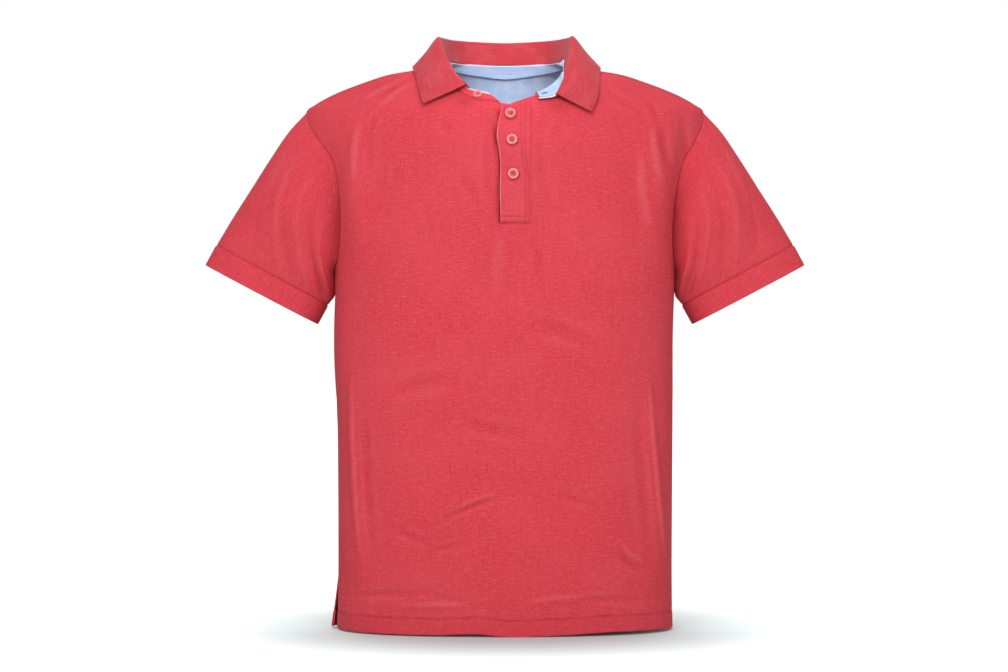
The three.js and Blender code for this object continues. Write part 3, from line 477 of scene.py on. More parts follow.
def half_pattern(face, side, rows, columns, inner_edge):
    """Pattern points of half a panel, from its side seam and armhole in to its middle line."""
    rows, columns = np.asarray(rows, float), np.asarray(columns, float)
    armhole = seams[side]['armhole_' + face]
    neck = seams[side]['neck_' + face]
    outer = np.stack((np.full(rows.shape, side * math.pi / 2 * seam_pitch),
                      up_at_height(armpit_z) * rows / side_rows), -1)
    outer = np.where((rows > side_rows)[:, None],
                     armhole(np.clip((rows - side_rows) / armhole_rows_count, 0, 1)), outer)
    inner = inner_edge(rows)
    share = shoulder_share[face]
    top = np.where((columns <= share)[:, None], seams[side]['shoulder'](columns / share),
                   neck(np.clip((columns - share) / (1 - share), 0, 1)))
    top_ends = seams[side]['shoulder'](0), neck(1)
    u = columns[:, None]
    rise = top - (top_ends[0] * (1 - u) + top_ends[1] * u)
    lift = np.maximum((rows - side_rows) / armhole_rows_count, 0)**2
    return (outer[:, None] * (1 - u) + inner[:, None] * u
            + rise[None] * lift[:, None, None])


def close_set(start, end, step, fine, reach, at_start=True, at_end=True):
    """Places from start to end, set closer together near the sewn ends."""
    places, here = [start], start
    while here < end:
        near = []
        if at_start:
            near.append(here - start)
        if at_end:
            near.append(end - here)
        gap = min(near) if near else reach
        here += fine + (step - fine) * min(max(gap / reach, 0), 1)
        places.append(here)
    places = np.array(places)
    return start + (places - start) * (end - start) / (places[-1] - start)


def grid_normals(grid, closed=False):
    if closed:
        along = np.roll(grid, -1, 1) - np.roll(grid, 1, 1)
    else:
        along = np.gradient(grid, axis=1)
    up = np.gradient(grid, axis=0)
    return unit(np.cross(along, up))


def arc(grid, axis):
    steps = np.linalg.norm(np.diff(grid, axis=axis), axis=-1)
    zero = np.zeros_like(np.take(steps, [0], axis=axis))
    return np.concatenate((zero, np.cumsum(steps, axis=axis)), axis=axis)


def mesh_object(name, points, faces, material):
    """Smooth mesh from points in millimetres."""
    mesh = bpy.data.meshes.new(name)
    mesh.from_pydata((points / 1000).tolist(), [], faces)
    mesh.polygons.foreach_set('use_smooth', np.ones(len(faces), bool))
    mesh.materials.append(material)
    made = bpy.data.objects.new(name, mesh)
    scene.collection.objects.link(made)
    return made


def sheet_object(name, grid, uv, material, flip=False, closed=False, keep=None, wear_and_painted_light=None):
    """Cloth sheet through a grid of points in millimetres, with the weave's directions as UV, and
    any painted light per point as an attribute.
    """
    rows, columns = grid.shape[:2]
    spans = columns if closed else columns - 1
    i, j = np.meshgrid(np.arange(rows - 1), np.arange(spans), indexing='ij')
    if keep is not None:
        chosen = keep(i, j)
        i, j = i[chosen], j[chosen]
    i, j = i.ravel(), j.ravel()
    corners = [(i, j), (i, j + 1), (i + 1, j + 1), (i + 1, j)]
    if flip:
        corners.reverse()
    faces = np.stack([a * columns + b % columns for a, b in corners], -1)
    face_uv = np.stack([uv[a, b] for a, b in corners], 1) / 1000
    used, faces = np.unique(faces, return_inverse=True)
    faces = faces.reshape(-1, 4)
    made = mesh_object(name, grid.reshape(-1, 3)[used], faces.tolist(), material)
    weave_map = made.data.uv_layers.new(name='weave')
    weave_map.data.foreach_set('uv', face_uv.astype(np.float32).ravel())
    if wear_and_painted_light is not None:
        painted_light_attribute = made.data.attributes.new('wear_and_painted_light', 'FLOAT', 'POINT')
        painted_light_attribute.data.foreach_set('value', wear_and_painted_light.ravel()[used].astype(np.float32))
    return made


def select_only(made):
    bpy.ops.object.select_all(action='DESELECT')
    bpy.context.view_layer.objects.active = made
    made.select_set(True)


def round_edges(made, width, segments, degrees):
    rounding = made.modifiers.new('edges', 'BEVEL')
    rounding.width = width / 1000
    rounding.segments = segments
    rounding.limit_method = 'ANGLE'
    rounding.angle_limit = math.radians(degrees)


def thicken(made, thickness, edge=0.35):
    """Gives the sheet its thickness inwards, and rounds its cut edges."""
    solid = made.modifiers.new('thickness', 'SOLIDIFY')
    solid.thickness = thickness / 1000
    solid.offset = -1
    round_edges(made, edge, 2, 55)
    select_only(made)
    for name in ('thickness', 'edges'):
        bpy.ops.object.modifier_apply(modifier=name)


def declare(piece, slot, node=None, **cut):
    """Hangs the piece on the root and hides the node it replaces. The slot and the sheet it is cut
    from are not used.
    """
    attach(piece, 'root')
    if node:
        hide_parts(node)


def node_group(name, inputs, outputs):
    group = bpy.data.node_groups.new(name, 'ShaderNodeTree')
    for label, kind, value in inputs:
        socket = group.interface.new_socket(label, in_out='INPUT', socket_type=kind)
        if value is not None:
            socket.default_value = value
    for label, kind in outputs:
        group.interface.new_socket(label, in_out='OUTPUT', socket_type=kind)
    return group, group.nodes.new('NodeGroupInput'), group.nodes.new('NodeGroupOutput')


def math_node(tree, operation, first, second=None):
    node = tree.nodes.new('ShaderNodeMath')
    node.operation = operation
    for k, value in enumerate((first, second)):
        if value is None:
            continue
        if isinstance(value, (int, float)):
            node.inputs[k].default_value = value
        else:
            tree.links.new(value, node.inputs[k])
    return node.outputs[0]


def stretched_noise(tree, vector, across, along, detail=2.0, roughness=0.5):
    """Noise drawn out along the weave: its cells a metre across, and along."""
    scale = tree.nodes.new('ShaderNodeVectorMath')
    scale.operation = 'MULTIPLY'
    scale.inputs[1].default_value = (across, along, 1)
    tree.links.new(vector, scale.inputs[0])
    noise = tree.nodes.new('ShaderNodeTexNoise')
    noise.inputs['Scale'].default_value = 1
    noise.inputs['Detail'].default_value = detail
    noise.inputs['Roughness'].default_value = roughness
    tree.links.new(scale.outputs[0], noise.inputs['Vector'])
    return noise.outputs['Fac']


def colour_mix(tree, factor, first, second):
    mix = tree.nodes.new('ShaderNodeMix')
    mix.data_type = 'RGBA'
    tree.links.new(factor, mix.inputs['Factor'])
    for socket, value in ((mix.inputs['A'], first), (mix.inputs['B'], second)):
        if isinstance(value, tuple):
            socket.default_value = value
        else:
            tree.links.new(value, socket)
    return mix.outputs['Result']


def spread(tree, value, low, high):
    node = tree.nodes.new('ShaderNodeMapRange')
    node.inputs['From Min'].default_value = low
    node.inputs['From Max'].default_value = high
    tree.links.new(value, node.inputs['Value'])
    return node.outputs['Result']


def tint(tree, tone, colour, noise, low, high, share):
    """Takes the tone towards a colour where a noise lies between two values."""
    amount = math_node(tree, 'MULTIPLY', spread(tree, noise, low, high), share)
    return colour_mix(tree, amount, tone, colour)


# Knit: loops in wales and courses, thick and thin yarn as pale and dark streaks along the
# courses, and a mottled wash. Colours come in, and a colour and a height go out.
knit, knit_in, knit_out = node_group(
    'slub_knit',
    [('Vector', 'NodeSocketVector', None), ('Colour', 'NodeSocketColor', (0.7, 0.07, 0.09, 1)),
     ('Pale', 'NodeSocketColor', (0.8, 0.2, 0.22, 1)),
     ('Dark', 'NodeSocketColor', (0.5, 0.03, 0.05, 1)), ('Streaks', 'NodeSocketFloat', 0.5),
     ('Wales', 'NodeSocketFloat', 900.0), ('Courses', 'NodeSocketFloat', 800.0)],
    [('Colour', 'NodeSocketColor'), ('Height', 'NodeSocketFloat')])
plane = knit.nodes.new('ShaderNodeSeparateXYZ')
knit.links.new(knit_in.outputs['Vector'], plane.inputs[0])
wale = math_node(knit, 'MULTIPLY', plane.outputs['X'], knit_in.outputs['Wales'])
course = math_node(knit, 'MULTIPLY', plane.outputs['Y'], knit_in.outputs['Courses'])
lean = math_node(knit, 'PINGPONG', course, 0.5)
loops = math_node(knit, 'PINGPONG', math_node(knit, 'ADD', wale, lean), 0.5)
rows_up = math_node(knit, 'PINGPONG', course, 0.5)
loop_height = math_node(knit, 'ADD', math_node(knit, 'MULTIPLY', loops, 1.3), rows_up)
knit_vector = knit_in.outputs['Vector']
long_streak = stretched_noise(knit, knit_vector, 85, 430, 4, 0.6)
short_streak = stretched_noise(knit, knit_vector, 200, 520, 3, 0.6)
fleck = stretched_noise(knit, knit_vector, 420, 900, 2)
wash = stretched_noise(knit, knit_vector, 9, 11, 4)
upright = stretched_noise(knit, knit_vector, 380, 26, 3)
streaks, pale, dark = (knit_in.outputs[label] for label in ('Streaks', 'Pale', 'Dark'))
tone = tint(knit, knit_in.outputs['Colour'], pale, long_streak, 0.5, 0.78, streaks)
dark_share = math_node(knit, 'MULTIPLY', spread(knit, short_streak, 0.55, 0.25), streaks)
tone = colour_mix(knit, math_node(knit, 'MULTIPLY', dark_share, 0.8), tone, dark)
tone = tint(knit, tone, pale, fleck, 0.5, 0.8, 0.5)
tone = tint(knit, tone, pale, wash, 0.42, 0.7, 0.12)
tone = tint(knit, tone, dark, upright, 0.5, 0.25, 0.2)
knit.links.new(tone, knit_out.inputs['Colour'])
slub_lift = math_node(knit, 'MULTIPLY', spread(knit, long_streak, 0.5, 0.8), 1.2)
fuzz_lift = math_node(knit, 'MULTIPLY', fleck, 0.7)
lifted = math_node(knit, 'ADD', math_node(knit, 'ADD', loop_height, slub_lift), fuzz_lift)
knit.links.new(lifted, knit_out.inputs['Height'])


# Colours that the point attribute mixes in: a pale red as painted highlight, a near black as
# painted shade.
painted_highlight_colour = (0.90, 0.36, 0.38, 1)
painted_shade_colour = (0.20, 0.008, 0.014, 1)


def cloth_material(name, group, values, roughness, sheen, bump, sheen_tint=(1, 0.8, 0.8, 1)):
    """Cloth finish: a weave or knit group feeds colour and bump, with a soft nap on top; a point
    attribute mixes in painted highlight and painted shade.
    """
    material, tree, shader = new_material(name, roughness)
    shader.inputs['Specular IOR Level'].default_value = 0.07
    shader.inputs['Sheen Weight'].default_value = sheen
    shader.inputs['Sheen Roughness'].default_value = 0.45
    shader.inputs['Sheen Tint'].default_value = sheen_tint
    weave = tree.nodes.new('ShaderNodeUVMap')
    weave.uv_map = 'weave'
    effect = tree.nodes.new('ShaderNodeGroup')
    effect.node_tree = group
    tree.links.new(weave.outputs['UV'], effect.inputs['Vector'])
    for label, value in values.items():
        effect.inputs[label].default_value = value
    relief = tree.nodes.new('ShaderNodeBump')
    relief.inputs['Strength'].default_value = bump
    relief.inputs['Distance'].default_value = 0.0004
    tree.links.new(effect.outputs['Height'], relief.inputs['Height'])
    tree.links.new(relief.outputs['Normal'], shader.inputs['Normal'])
    # Point attribute of painted light: above zero towards the painted highlight, below zero towards
    # the painted shade.
    painted_light_attribute = tree.nodes.new('ShaderNodeAttribute')
    painted_light_attribute.attribute_name = 'wear_and_painted_light'
    painted_highlight_share = spread(tree, painted_light_attribute.outputs['Fac'], 0, 1)
    painted_shade_share = spread(tree, painted_light_attribute.outputs['Fac'], 0, -1)
    tone = colour_mix(tree, painted_highlight_share, effect.outputs['Colour'], painted_highlight_colour)
    tone = colour_mix(tree, painted_shade_share, tone, painted_shade_colour)
    tree.links.new(tone, shader.inputs['Base Color'])
    return material


red_jersey = cloth_material(
    'red_jersey', knit,
    {'Colour': (0.65, 0.05, 0.069, 1), 'Pale': (0.80, 0.135, 0.16, 1),
     'Dark': (0.42, 0.022, 0.037, 1), 'Streaks': 0.5},
    roughness=0.95, sheen=0.03, bump=0.35)


def hem_fold(points, normals, uv, depth, radius):
    """Turns the lowest edge of a sheet up inside by a depth, round a small radius."""
    down = unit(points[0] - points[1])
    rise = arc(points, 0)
    last = int(np.argmin(np.abs(rise[:, 0] - depth)))
    extra, extra_uv = [], []
    for k in range(last, -1, -1):
        extra.append(points[k] - normals[k] * 2 * radius)
        extra_uv.append(uv[0] - (uv[k] - uv[0]) - np.array([0, math.pi * radius]))
    for k in range(1, 6):
        turn = math.pi * (1 - k / 6)
        extra.append(points[0] - normals[0] * radius * (1 - math.cos(turn))
                     + down * radius * math.sin(turn))
        extra_uv.append(uv[0] - np.array([0, turn * radius]))
    # Where the fold is turned up, its across value stays that of the edge it hangs from.
    folded = np.stack(extra)
    folded_uv = np.stack(extra_uv)
    folded_uv[:, :, 0] = uv[0][None, :, 0]
    return np.concatenate((folded, points)), np.concatenate((folded_uv, uv))


def uneven(x, seed):
    """Smooth unevenness between -1 and 1 along a seam, from a few waves."""
    out = np.zeros(np.shape(x))
    for k, (share, wave) in enumerate(((0.5, 61.0), (0.3, 27.0), (0.2, 13.0))):
        out = out + share * np.sin(np.asarray(x) * 2 * math.pi / wave + seed * (k + 1) * 1.7)
    return out


def step_down(distance, softness):
    """One well before zero, none well past it."""
    return 0.5 - 0.5 * np.tanh(distance / (2 * softness))


def sew_relief(from_side, from_top, from_low, top_share, along_low):
    """Height of the cloth beside its seams and along the stitched hem, and its painted light."""
    sides = -0.7 * hump(from_side, 1.5) + 0.4 * step_down(from_side - 7, 0.9)
    tops = -1.2 * hump(from_top, 1.5) + 0.45 * step_down(from_top - 7, 0.9)
    line = from_low - hem_depth
    pull = 0.75 + 0.35 * uneven(along_low, 1.3)
    stitch = -0.9 * pull * hump(line, 1.4)
    layers = 0.6 * step_down(line, 0.8)
    above = 0.45 * uneven(along_low * 1.7, 2.1) * np.exp(-(np.maximum(line, 0) / 9))
    relief = sides + tops * top_share + stitch + layers + above * (line > -hem_depth)
    # Painted shade in the seam grooves, along the hem stitches and over the doubled hem, and
    # painted highlight and shade on the puckers above the hem stitches.
    tone = (-0.14 * hump(from_side, 1.8) - 0.3 * hump(from_top, 1.8)
            - 0.36 * pull * hump(line, 1.5)
            + 0.12 * above * (line > 0) - 0.05 * step_down(line, 1.5))
    return relief, tone


def panel_rows():
    low = np.arange(0, 1.1, 0.062)
    middle = np.linspace(1.1, side_rows, 132, endpoint=False)
    high = close_set(side_rows, all_rows, 0.165, 0.045, 0.9, at_start=False)
    return np.concatenate((low, middle, high))


panel_row_at = panel_rows()
panel_column_at = close_set(0, 1, 0.0125, 0.003, 0.06, at_end=False)


slot_row = 25


def front_line(x, top_z):
    def line(rows):
        low = hem_z + (placket_slot_z - hem_z) * rows / slot_row
        share = (rows - slot_row) / (all_rows - slot_row)
        high = placket_slot_z + (top_z - placket_slot_z) * share
        return place('front', np.full(rows.shape, float(x)), np.where(rows <= slot_row, low, high))
    return line


def hem_drop(x):
    """The hem hangs a little unevenly: how far it drops at each distance across, in mm."""
    return smooth_column([-230, -180, -100, -40, 10, 70, 150, 200, 230],
                         [0, 0.5, 0.5, -1.5, 2.5, 0.5, -2.5, -2, 0], x)


def lowered(grid):
    """Lets the hem hang unevenly, which fades out up the cloth."""
    share = np.clip(1 - (grid[..., 2] - hem_z) / 150, 0, 1)**2
    moved = grid.copy()
    moved[..., 2] -= hem_drop(grid[..., 0]) * share
    return moved


def panel_relief(face, points, pattern_up, middle, share_at, shift):
    """Arc lengths, weave map, seam relief and dark lines of a panel."""
    across, up = arc(points, 1), arc(points, 0)
    uv = np.stack((across - across[:, middle:middle + 1], pattern_up), -1)
    from_side = np.minimum(across, across[:, -1:] - across)
    on_shoulder = step_down(share_at - shoulder_share[face], 0.004)[None]
    relief, sewn = sew_relief(from_side, up[-1:] - up, up, on_shoulder, uv[..., 0] + shift)
    return across, up, uv, relief, sewn


def placket_trough(x, z):
    """How far the front sinks beside the free edge of the placket, in mm."""
    ends = np.clip((z + 204) / 10, 0, 1) * np.clip((-52 - z) / 14, 0, 1)
    left = np.clip((x + 17) / 8, 0, 1)
    right = np.clip((0 - x) / 4, 0, 1)
    return 3.2 * ends * left**2 * (3 - 2 * left) * right


left_line = front_line(placket_left_x, neck_left_rows[-1][1])
right_line = front_line(placket_right_x, neck_right_rows[-1][1])
left_half = half_pattern('front', -1, panel_row_at, panel_column_at, left_line)
right_half = half_pattern('front', 1, panel_row_at, panel_column_at, right_line)
slot_columns = 9
slot_share = (np.arange(1, slot_columns) / slot_columns)[None, :, None]
slot_part = (left_line(panel_row_at)[:, None] * (1 - slot_share)
             + right_line(panel_row_at)[:, None] * slot_share)
front_pattern = np.concatenate((left_half, slot_part, right_half[:, ::-1]), 1)
front_points = lowered(on_body(front_pattern))
front_normals = grid_normals(front_points)
middle_column = len(panel_column_at) + slot_columns // 2
column_share = np.concatenate((panel_column_at, np.ones(slot_columns - 1), panel_column_at[::-1]))
across_front, up_front, front_uv, relief, sewn = panel_relief(
    'front', front_points, front_pattern[..., 1], middle_column, column_share, 0)
sunk = relief - placket_trough(front_points[..., 0], front_points[..., 2])
front_points = front_points + front_normals * sunk[..., None]
hem_turn = (hem_depth - 1, 1.25)
front_full, front_full_uv = hem_fold(front_points, front_normals, front_uv, *hem_turn)
folded_rows = len(front_full) - len(front_points)
slot_from = folded_rows + int(np.searchsorted(panel_row_at, slot_row))
slot_left = len(panel_column_at) - 1


def outside_slot(i, j):
    return ~((i >= slot_from) & (j >= slot_left) & (j < slot_left + slot_columns))


placket_edge_rows = np.array([
    (-200, -5.5),
    (-160, -6.5),
    (-128, -6),
    (-106, -7.5),
    (-88, -10.5),
    (-64, -7.5),
    (-50, -4),
])


def panel_painted_light(face, points, sewn, folded):
    """Painted light over a panel, none on its turned-up hem: painted shade and highlight of its
    seams, puckers and folds.
    """
    x, z = points[..., 0], points[..., 2]
    wear_and_painted_light = np.clip(0.06 * fold_painted_light(face, x, z), -0.24, 0.09) + sewn
    return np.concatenate((np.zeros((folded, points.shape[1])), np.clip(wear_and_painted_light, -0.7, 0.4)))


front_x, front_z = front_points[..., 0], front_points[..., 2]
edge_x, = table_columns(placket_edge_rows, front_z, [1])
# Painted shadow in the gap to the left of the placket's free edge, fading out at both ends.
gap_ends = np.clip((front_z + 203) / 5, 0, 1) * np.clip((-50 - front_z) / 10, 0, 1)
gap_shade = 0.92 * gap_ends * hump(front_x - edge_x + 0.5, 2.7)

# Shade below the two leaves of the collar and across the foot of the neck opening: share,
# middle across and up, and half widths across and up.
leaf_shade = sum(share * hump(front_x - x, wide) * hump(front_z - z, high)
                 for share, x, z, wide, high in ((0.30, -52, -41, 10, 7), (0.26, 70, -48, 13, 7),
                                                 (0.15, 12, -56, 60, 20)))
# The front's painted light, less the painted shadow beside the placket and under the collar.
front_painted_light = panel_painted_light('front', front_points, sewn, folded_rows)
front_painted_light[folded_rows:] -= gap_shade + leaf_shade
front_piece = sheet_object('front_panel', front_full, front_full_uv, red_jersey, keep=outside_slot,
                           wear_and_painted_light=front_painted_light)
thicken(front_piece, jersey_thickness)
declare(front_piece, 'red_jersey', 'front', flat=(0.62, 0.79), area=0.415, held='draped')

# Back of the shirt: one panel of the same jersey, sewn to the front at the sides and
# shoulders, with its hem turned up. Its left side is open at the bottom, as a short vent.
back_middle_z = -290
vent_flare = 8


def back_line(side):
    def line(rows):
        low = hem_z + (back_middle_z - hem_z) * rows / side_rows
        top_z = neck_back_rows[-1][1]
        high = back_middle_z + (top_z - back_middle_z) * (rows - side_rows) / armhole_rows_count
        up = up_at_height(np.where(rows <= side_rows, low, high))
        return np.stack((np.full(rows.shape, side * math.pi * seam_pitch), up), -1)
    return line


left_half = half_pattern('back', -1, panel_row_at, panel_column_at, back_line(-1))
right_half = half_pattern('back', 1, panel_row_at, panel_column_at, back_line(1))
back_left = on_body(left_half)
turned_back = np.abs(left_half[..., 0] / seam_pitch) - math.pi / 2
low_share = np.clip((vent_top_z - back_left[..., 2]) / (vent_top_z - hem_z), 0, 1)
flare = vent_flare * low_share * hump(turned_back, 0.22)
back_left = back_left - flare[..., None] * grid_normals(back_left)
back_points = np.concatenate((back_left[:, :-1], on_body(right_half)[:, ::-1]), 1)
back_normals = -grid_normals(back_points)
back_middle = len(panel_column_at) - 1
back_up = np.concatenate((left_half[:, :-1, 1], right_half[:, ::-1, 1]), 1)
column_share = np.concatenate((panel_column_at[:-1], panel_column_at[::-1]))
across_back, up_back, back_uv, relief, sewn = panel_relief(
    'back', back_points, back_up, back_middle, column_share, 40)
back_points = back_points + back_normals * relief[..., None]
back_full, back_full_uv = hem_fold(back_points, back_normals, back_uv, *hem_turn)
# Painted light of the back: painted shade and highlight at its seams, hem and folds.
back_painted_light = panel_painted_light('back', back_points, sewn, len(back_full) - len(back_points))
back_piece = sheet_object('back_panel', back_full, back_full_uv, red_jersey, flip=True,
                          wear_and_painted_light=back_painted_light)
thicken(back_piece, jersey_thickness)
declare(back_piece, 'red_jersey', 'back', flat=(0.62, 0.82), area=0.445, held='draped')

# Sleeves: a tube of the same jersey on each armhole, hanging slightly out from the body,
# with soft folds down from the shoulder and from the armpit.
sleeve_stations = np.array([
    (0, 261, -48, 227, -258, 55, 57),
    (0.16, 286.5, -75, 227.9, -270, 60, 62),
    (0.36, 311.5, -111, 228, -281, 58, 60),
    (0.6, 338.5, -153, 228.6, -292, 50, 52),
    (0.8, 361.5, -189, 231.5, -299, 42, 44),
    (1, 383, -225, 235.5, -304.5, 35, 36),
])
sleeve_square = 2.15

# Folds of each sleeve: turn from its upper edge in degrees where it starts and ends,
# reach along the sleeve, half width in degrees, and height in millimetres.
sleeve_wide_folds = [
    (62, 62, 0.15, 0.95, 16, 4), (100, 100, 0.1, 0.8, 14, -4), (138, 138, 0.05, 0.85, 15, 4),
    (232, 232, 0.1, 0.85, 16, 4), (268, 268, 0.1, 0.85, 16, -4), (305, 305, 0.1, 0.9, 16, 4),
]
armpit_folds = [(182, 182, -0.02, 0.9, 16, 3.0), (180, 180, -0.22, 0.5, 18, 2.4)]
sleeve_fine_folds = {
    -1: [
        (78, 160, 0.02, 0.95, 7, -2.3), (98, 172, 0.0, 0.85, 6, 1.7), (60, 142, 0.08, 1.05, 6, 1.3),
        (48, 128, 0.2, 1.1, 6, -1.5), (112, 168, 0.35, 1.15, 6, -1.8), (34, 104, 0.1, 1.0, 7, 1.1),
        (26, 84, 0.3, 1.15, 6, -0.9), (14, 60, 0.1, 0.8, 8, 0.8), (282, 200, 0.05, 0.9, 8, -1.8),
        (300, 222, 0.1, 1.0, 7, 1.5), (322, 250, 0.2, 0.95, 8, -1.3), (262, 190, 0.1, 1.0, 7, 1.4),
    ],
    1: [
        (84, 164, 0.02, 0.9, 7, -2.5), (102, 176, 0.0, 0.8, 6, 1.8), (66, 150, 0.05, 1.0, 6, 1.4),
        (54, 120, 0.1, 1.1, 6, -1.6), (116, 160, 0.4, 1.15, 6, -1.6), (38, 98, 0.15, 1.0, 7, 1.2),
        (22, 88, 0.35, 1.15, 6, -1.0), (16, 52, 0.1, 0.75, 8, 0.8), (276, 204, 0.05, 0.85, 8, -1.7),
        (304, 228, 0.1, 1.0, 7, 1.5), (318, 254, 0.15, 0.95, 8, -1.3), (258, 192, 0.1, 1.0, 7, 1.4),
    ],
}


def sleeve_ring(station, side, turn):
    out_x, out_z, under_x, under_z, front, back = station
    s, c = np.sin(turn), np.cos(turn)
    reach = (np.abs(s)**sleeve_square + np.abs(c)**sleeve_square)**(-1 / sleeve_square)
    depth = np.where(s > 0, front, back)
    return np.stack((side * ((out_x + under_x) / 2 + (out_x - under_x) / 2 * c * reach),
                     -depth * s * reach,
                     (out_z + under_z) / 2 + (out_z - under_z) / 2 * c * reach), -1)


def armhole_ring(side, turn):
    """Pattern points round an armhole, front first: half a turn is from shoulder to armpit."""
    share = np.mod(turn, 2 * math.pi) / math.pi
    front = seams[side]['armhole_front'](np.clip(1 - share, 0, 1))
    back = seams[side]['armhole_back'](np.clip(share - 1, 0, 1))
    return np.where((share <= 1)[..., None], front, back)


def sleeve_form(side, turn, along):
    turn, along = np.broadcast_arrays(np.asarray(turn, float), np.asarray(along, float))
    ring = sleeve_ring(table_columns(sleeve_stations, along, range(1, 7)), side, turn)
    first_ring = sleeve_ring(sleeve_stations[0, 1:], side, turn[0])
    start = on_body(armhole_ring(side, turn[0])) - first_ring
    under = (1 - np.cos(turn)) / 2
    fade = (1 - np.clip(along, 0, 1))**(2 + 9 * under)
    return ring + start[None] * fade[..., None]


fine_fold_gain = 1.7
fine_fold_width = 8


def sleeve_grid(side, turn, along):
    """Sleeve with its folds, and the painted light of the narrow ones."""
    form = sleeve_form(side, turn[None], along[:, None])
    out = np.zeros(form.shape[:2])
    tone = np.zeros(form.shape[:2])
    degrees = np.degrees(turn)[None]
    folds = sleeve_wide_folds + sleeve_fine_folds[side] + armpit_folds
    for first, last, start, end, width, height in folds:
        reach = (along[:, None] - start) / (end - start)
        inside = (reach > 0) & (reach < 1)
        centre = first + (last - first) * np.clip(reach, 0, 1)
        away = np.mod(degrees - centre + 540, 360) - 180
        wave = np.sin(math.pi * np.clip(reach, 0, 1))**2 * hump(away, width)
        gain = fine_fold_gain if width <= fine_fold_width else 1
        out += np.where(inside, gain * height * wave, 0)
        # Narrow folds get painted highlight on their ridges and painted shade in their valleys.
        if width <= fine_fold_width:
            line = np.sin(math.pi * np.clip(reach, 0, 1)) * hump(away, 0.5 * width)
            tone += np.where(inside, height * line, 0)
    grid = form + side * grid_normals(form, closed=True) * out[..., None]
    return grid, np.clip(0.07 * tone, -0.24, 0.04)


def tucked_edge(points, normal, down_by, in_by):
    """The sheet's first row again, moved down and in, to lie under its neighbour."""
    return points[0] - unit(points[2] - points[0]) * down_by - normal * in_by


sleeve_columns = 132
sleeve_turns = np.arange(sleeve_columns) / sleeve_columns * 2 * math.pi
sleeve_degrees = np.degrees(sleeve_turns)[None]
sleeve_tuck = 2.6
sleeve_alongs = close_set(0, 1, 0.0165, 0.006, 0.07)
sleeve_grids = {}
for side, label in ((-1, 'left'), (1, 'right')):
    points, wear_and_painted_light = sleeve_grid(side, sleeve_turns, sleeve_alongs)
    normals = side * grid_normals(points, closed=True)
    down_sleeve = arc(points, 0)
    seam_end = down_sleeve[-1:] - down_sleeve
    relief = (-0.5 * hump(down_sleeve, 1.5) - 0.7 * hump(seam_end, 1.4)
              + 0.3 * uneven(sleeve_degrees * 2.1 + 7 * side, 0.7)
              * np.exp(-(seam_end / 9)))
    points = points + normals * relief[..., None]
    # Painted shade on the sleeve: along its lower front beside the body, near the armhole, on its
    # underside towards the cuff, and in the seam grooves at the armhole and cuff.
    low_part = (np.clip((sleeve_degrees - 50) / 50, 0, 1)
                * np.clip((205 - sleeve_degrees) / 25, 0, 1))
    painted_shade_by_body = 0.46 * low_part * hump(down_sleeve, 18)
    painted_shade_by_body = painted_shade_by_body + 0.26 * hump(sleeve_degrees - 118, 26) * hump(down_sleeve, 9)
    painted_shade_beneath = 0.34 * hump(sleeve_degrees - 176, 30) * np.clip((down_sleeve - 8) / 30, 0, 1)
    seam_painted_shade = 0.2 * low_part * hump(down_sleeve, 1.8) + 0.22 * hump(seam_end, 1.6)
    wear_and_painted_light = np.clip(wear_and_painted_light - seam_painted_shade - painted_shade_by_body - painted_shade_beneath, -0.6, 0.3)
    wear_and_painted_light = np.concatenate((wear_and_painted_light[:1], wear_and_painted_light))
    seam_normals = unit(normal_on_body(armhole_ring(side, sleeve_turns)) + normals[0])
    tucked = tucked_edge(points, seam_normals, sleeve_tuck, 1.3)
    points = np.concatenate((tucked[None], points))
    normals = np.concatenate((normals[:1], normals))
    down_sleeve = np.concatenate((down_sleeve[:1] - sleeve_tuck, down_sleeve))
    across = arc(np.concatenate((points, points[:, :1]), 1), 1)
    armpit = sleeve_columns // 2
    uv = np.stack((across - across[:, armpit:armpit + 1],
                   -np.concatenate((down_sleeve, down_sleeve[:, :1]), 1)), -1)
    piece = sheet_object('sleeve_panel_' + label, points, uv, red_jersey, flip=side < 0,
                         closed=True, wear_and_painted_light=wear_and_painted_light)
    thicken(piece, jersey_thickness)
    declare(piece, 'red_jersey', 'sleeve_' + label, flat=(0.52, 0.24), area=0.068, held='hung')
    sleeve_grids[side] = (points, normals)

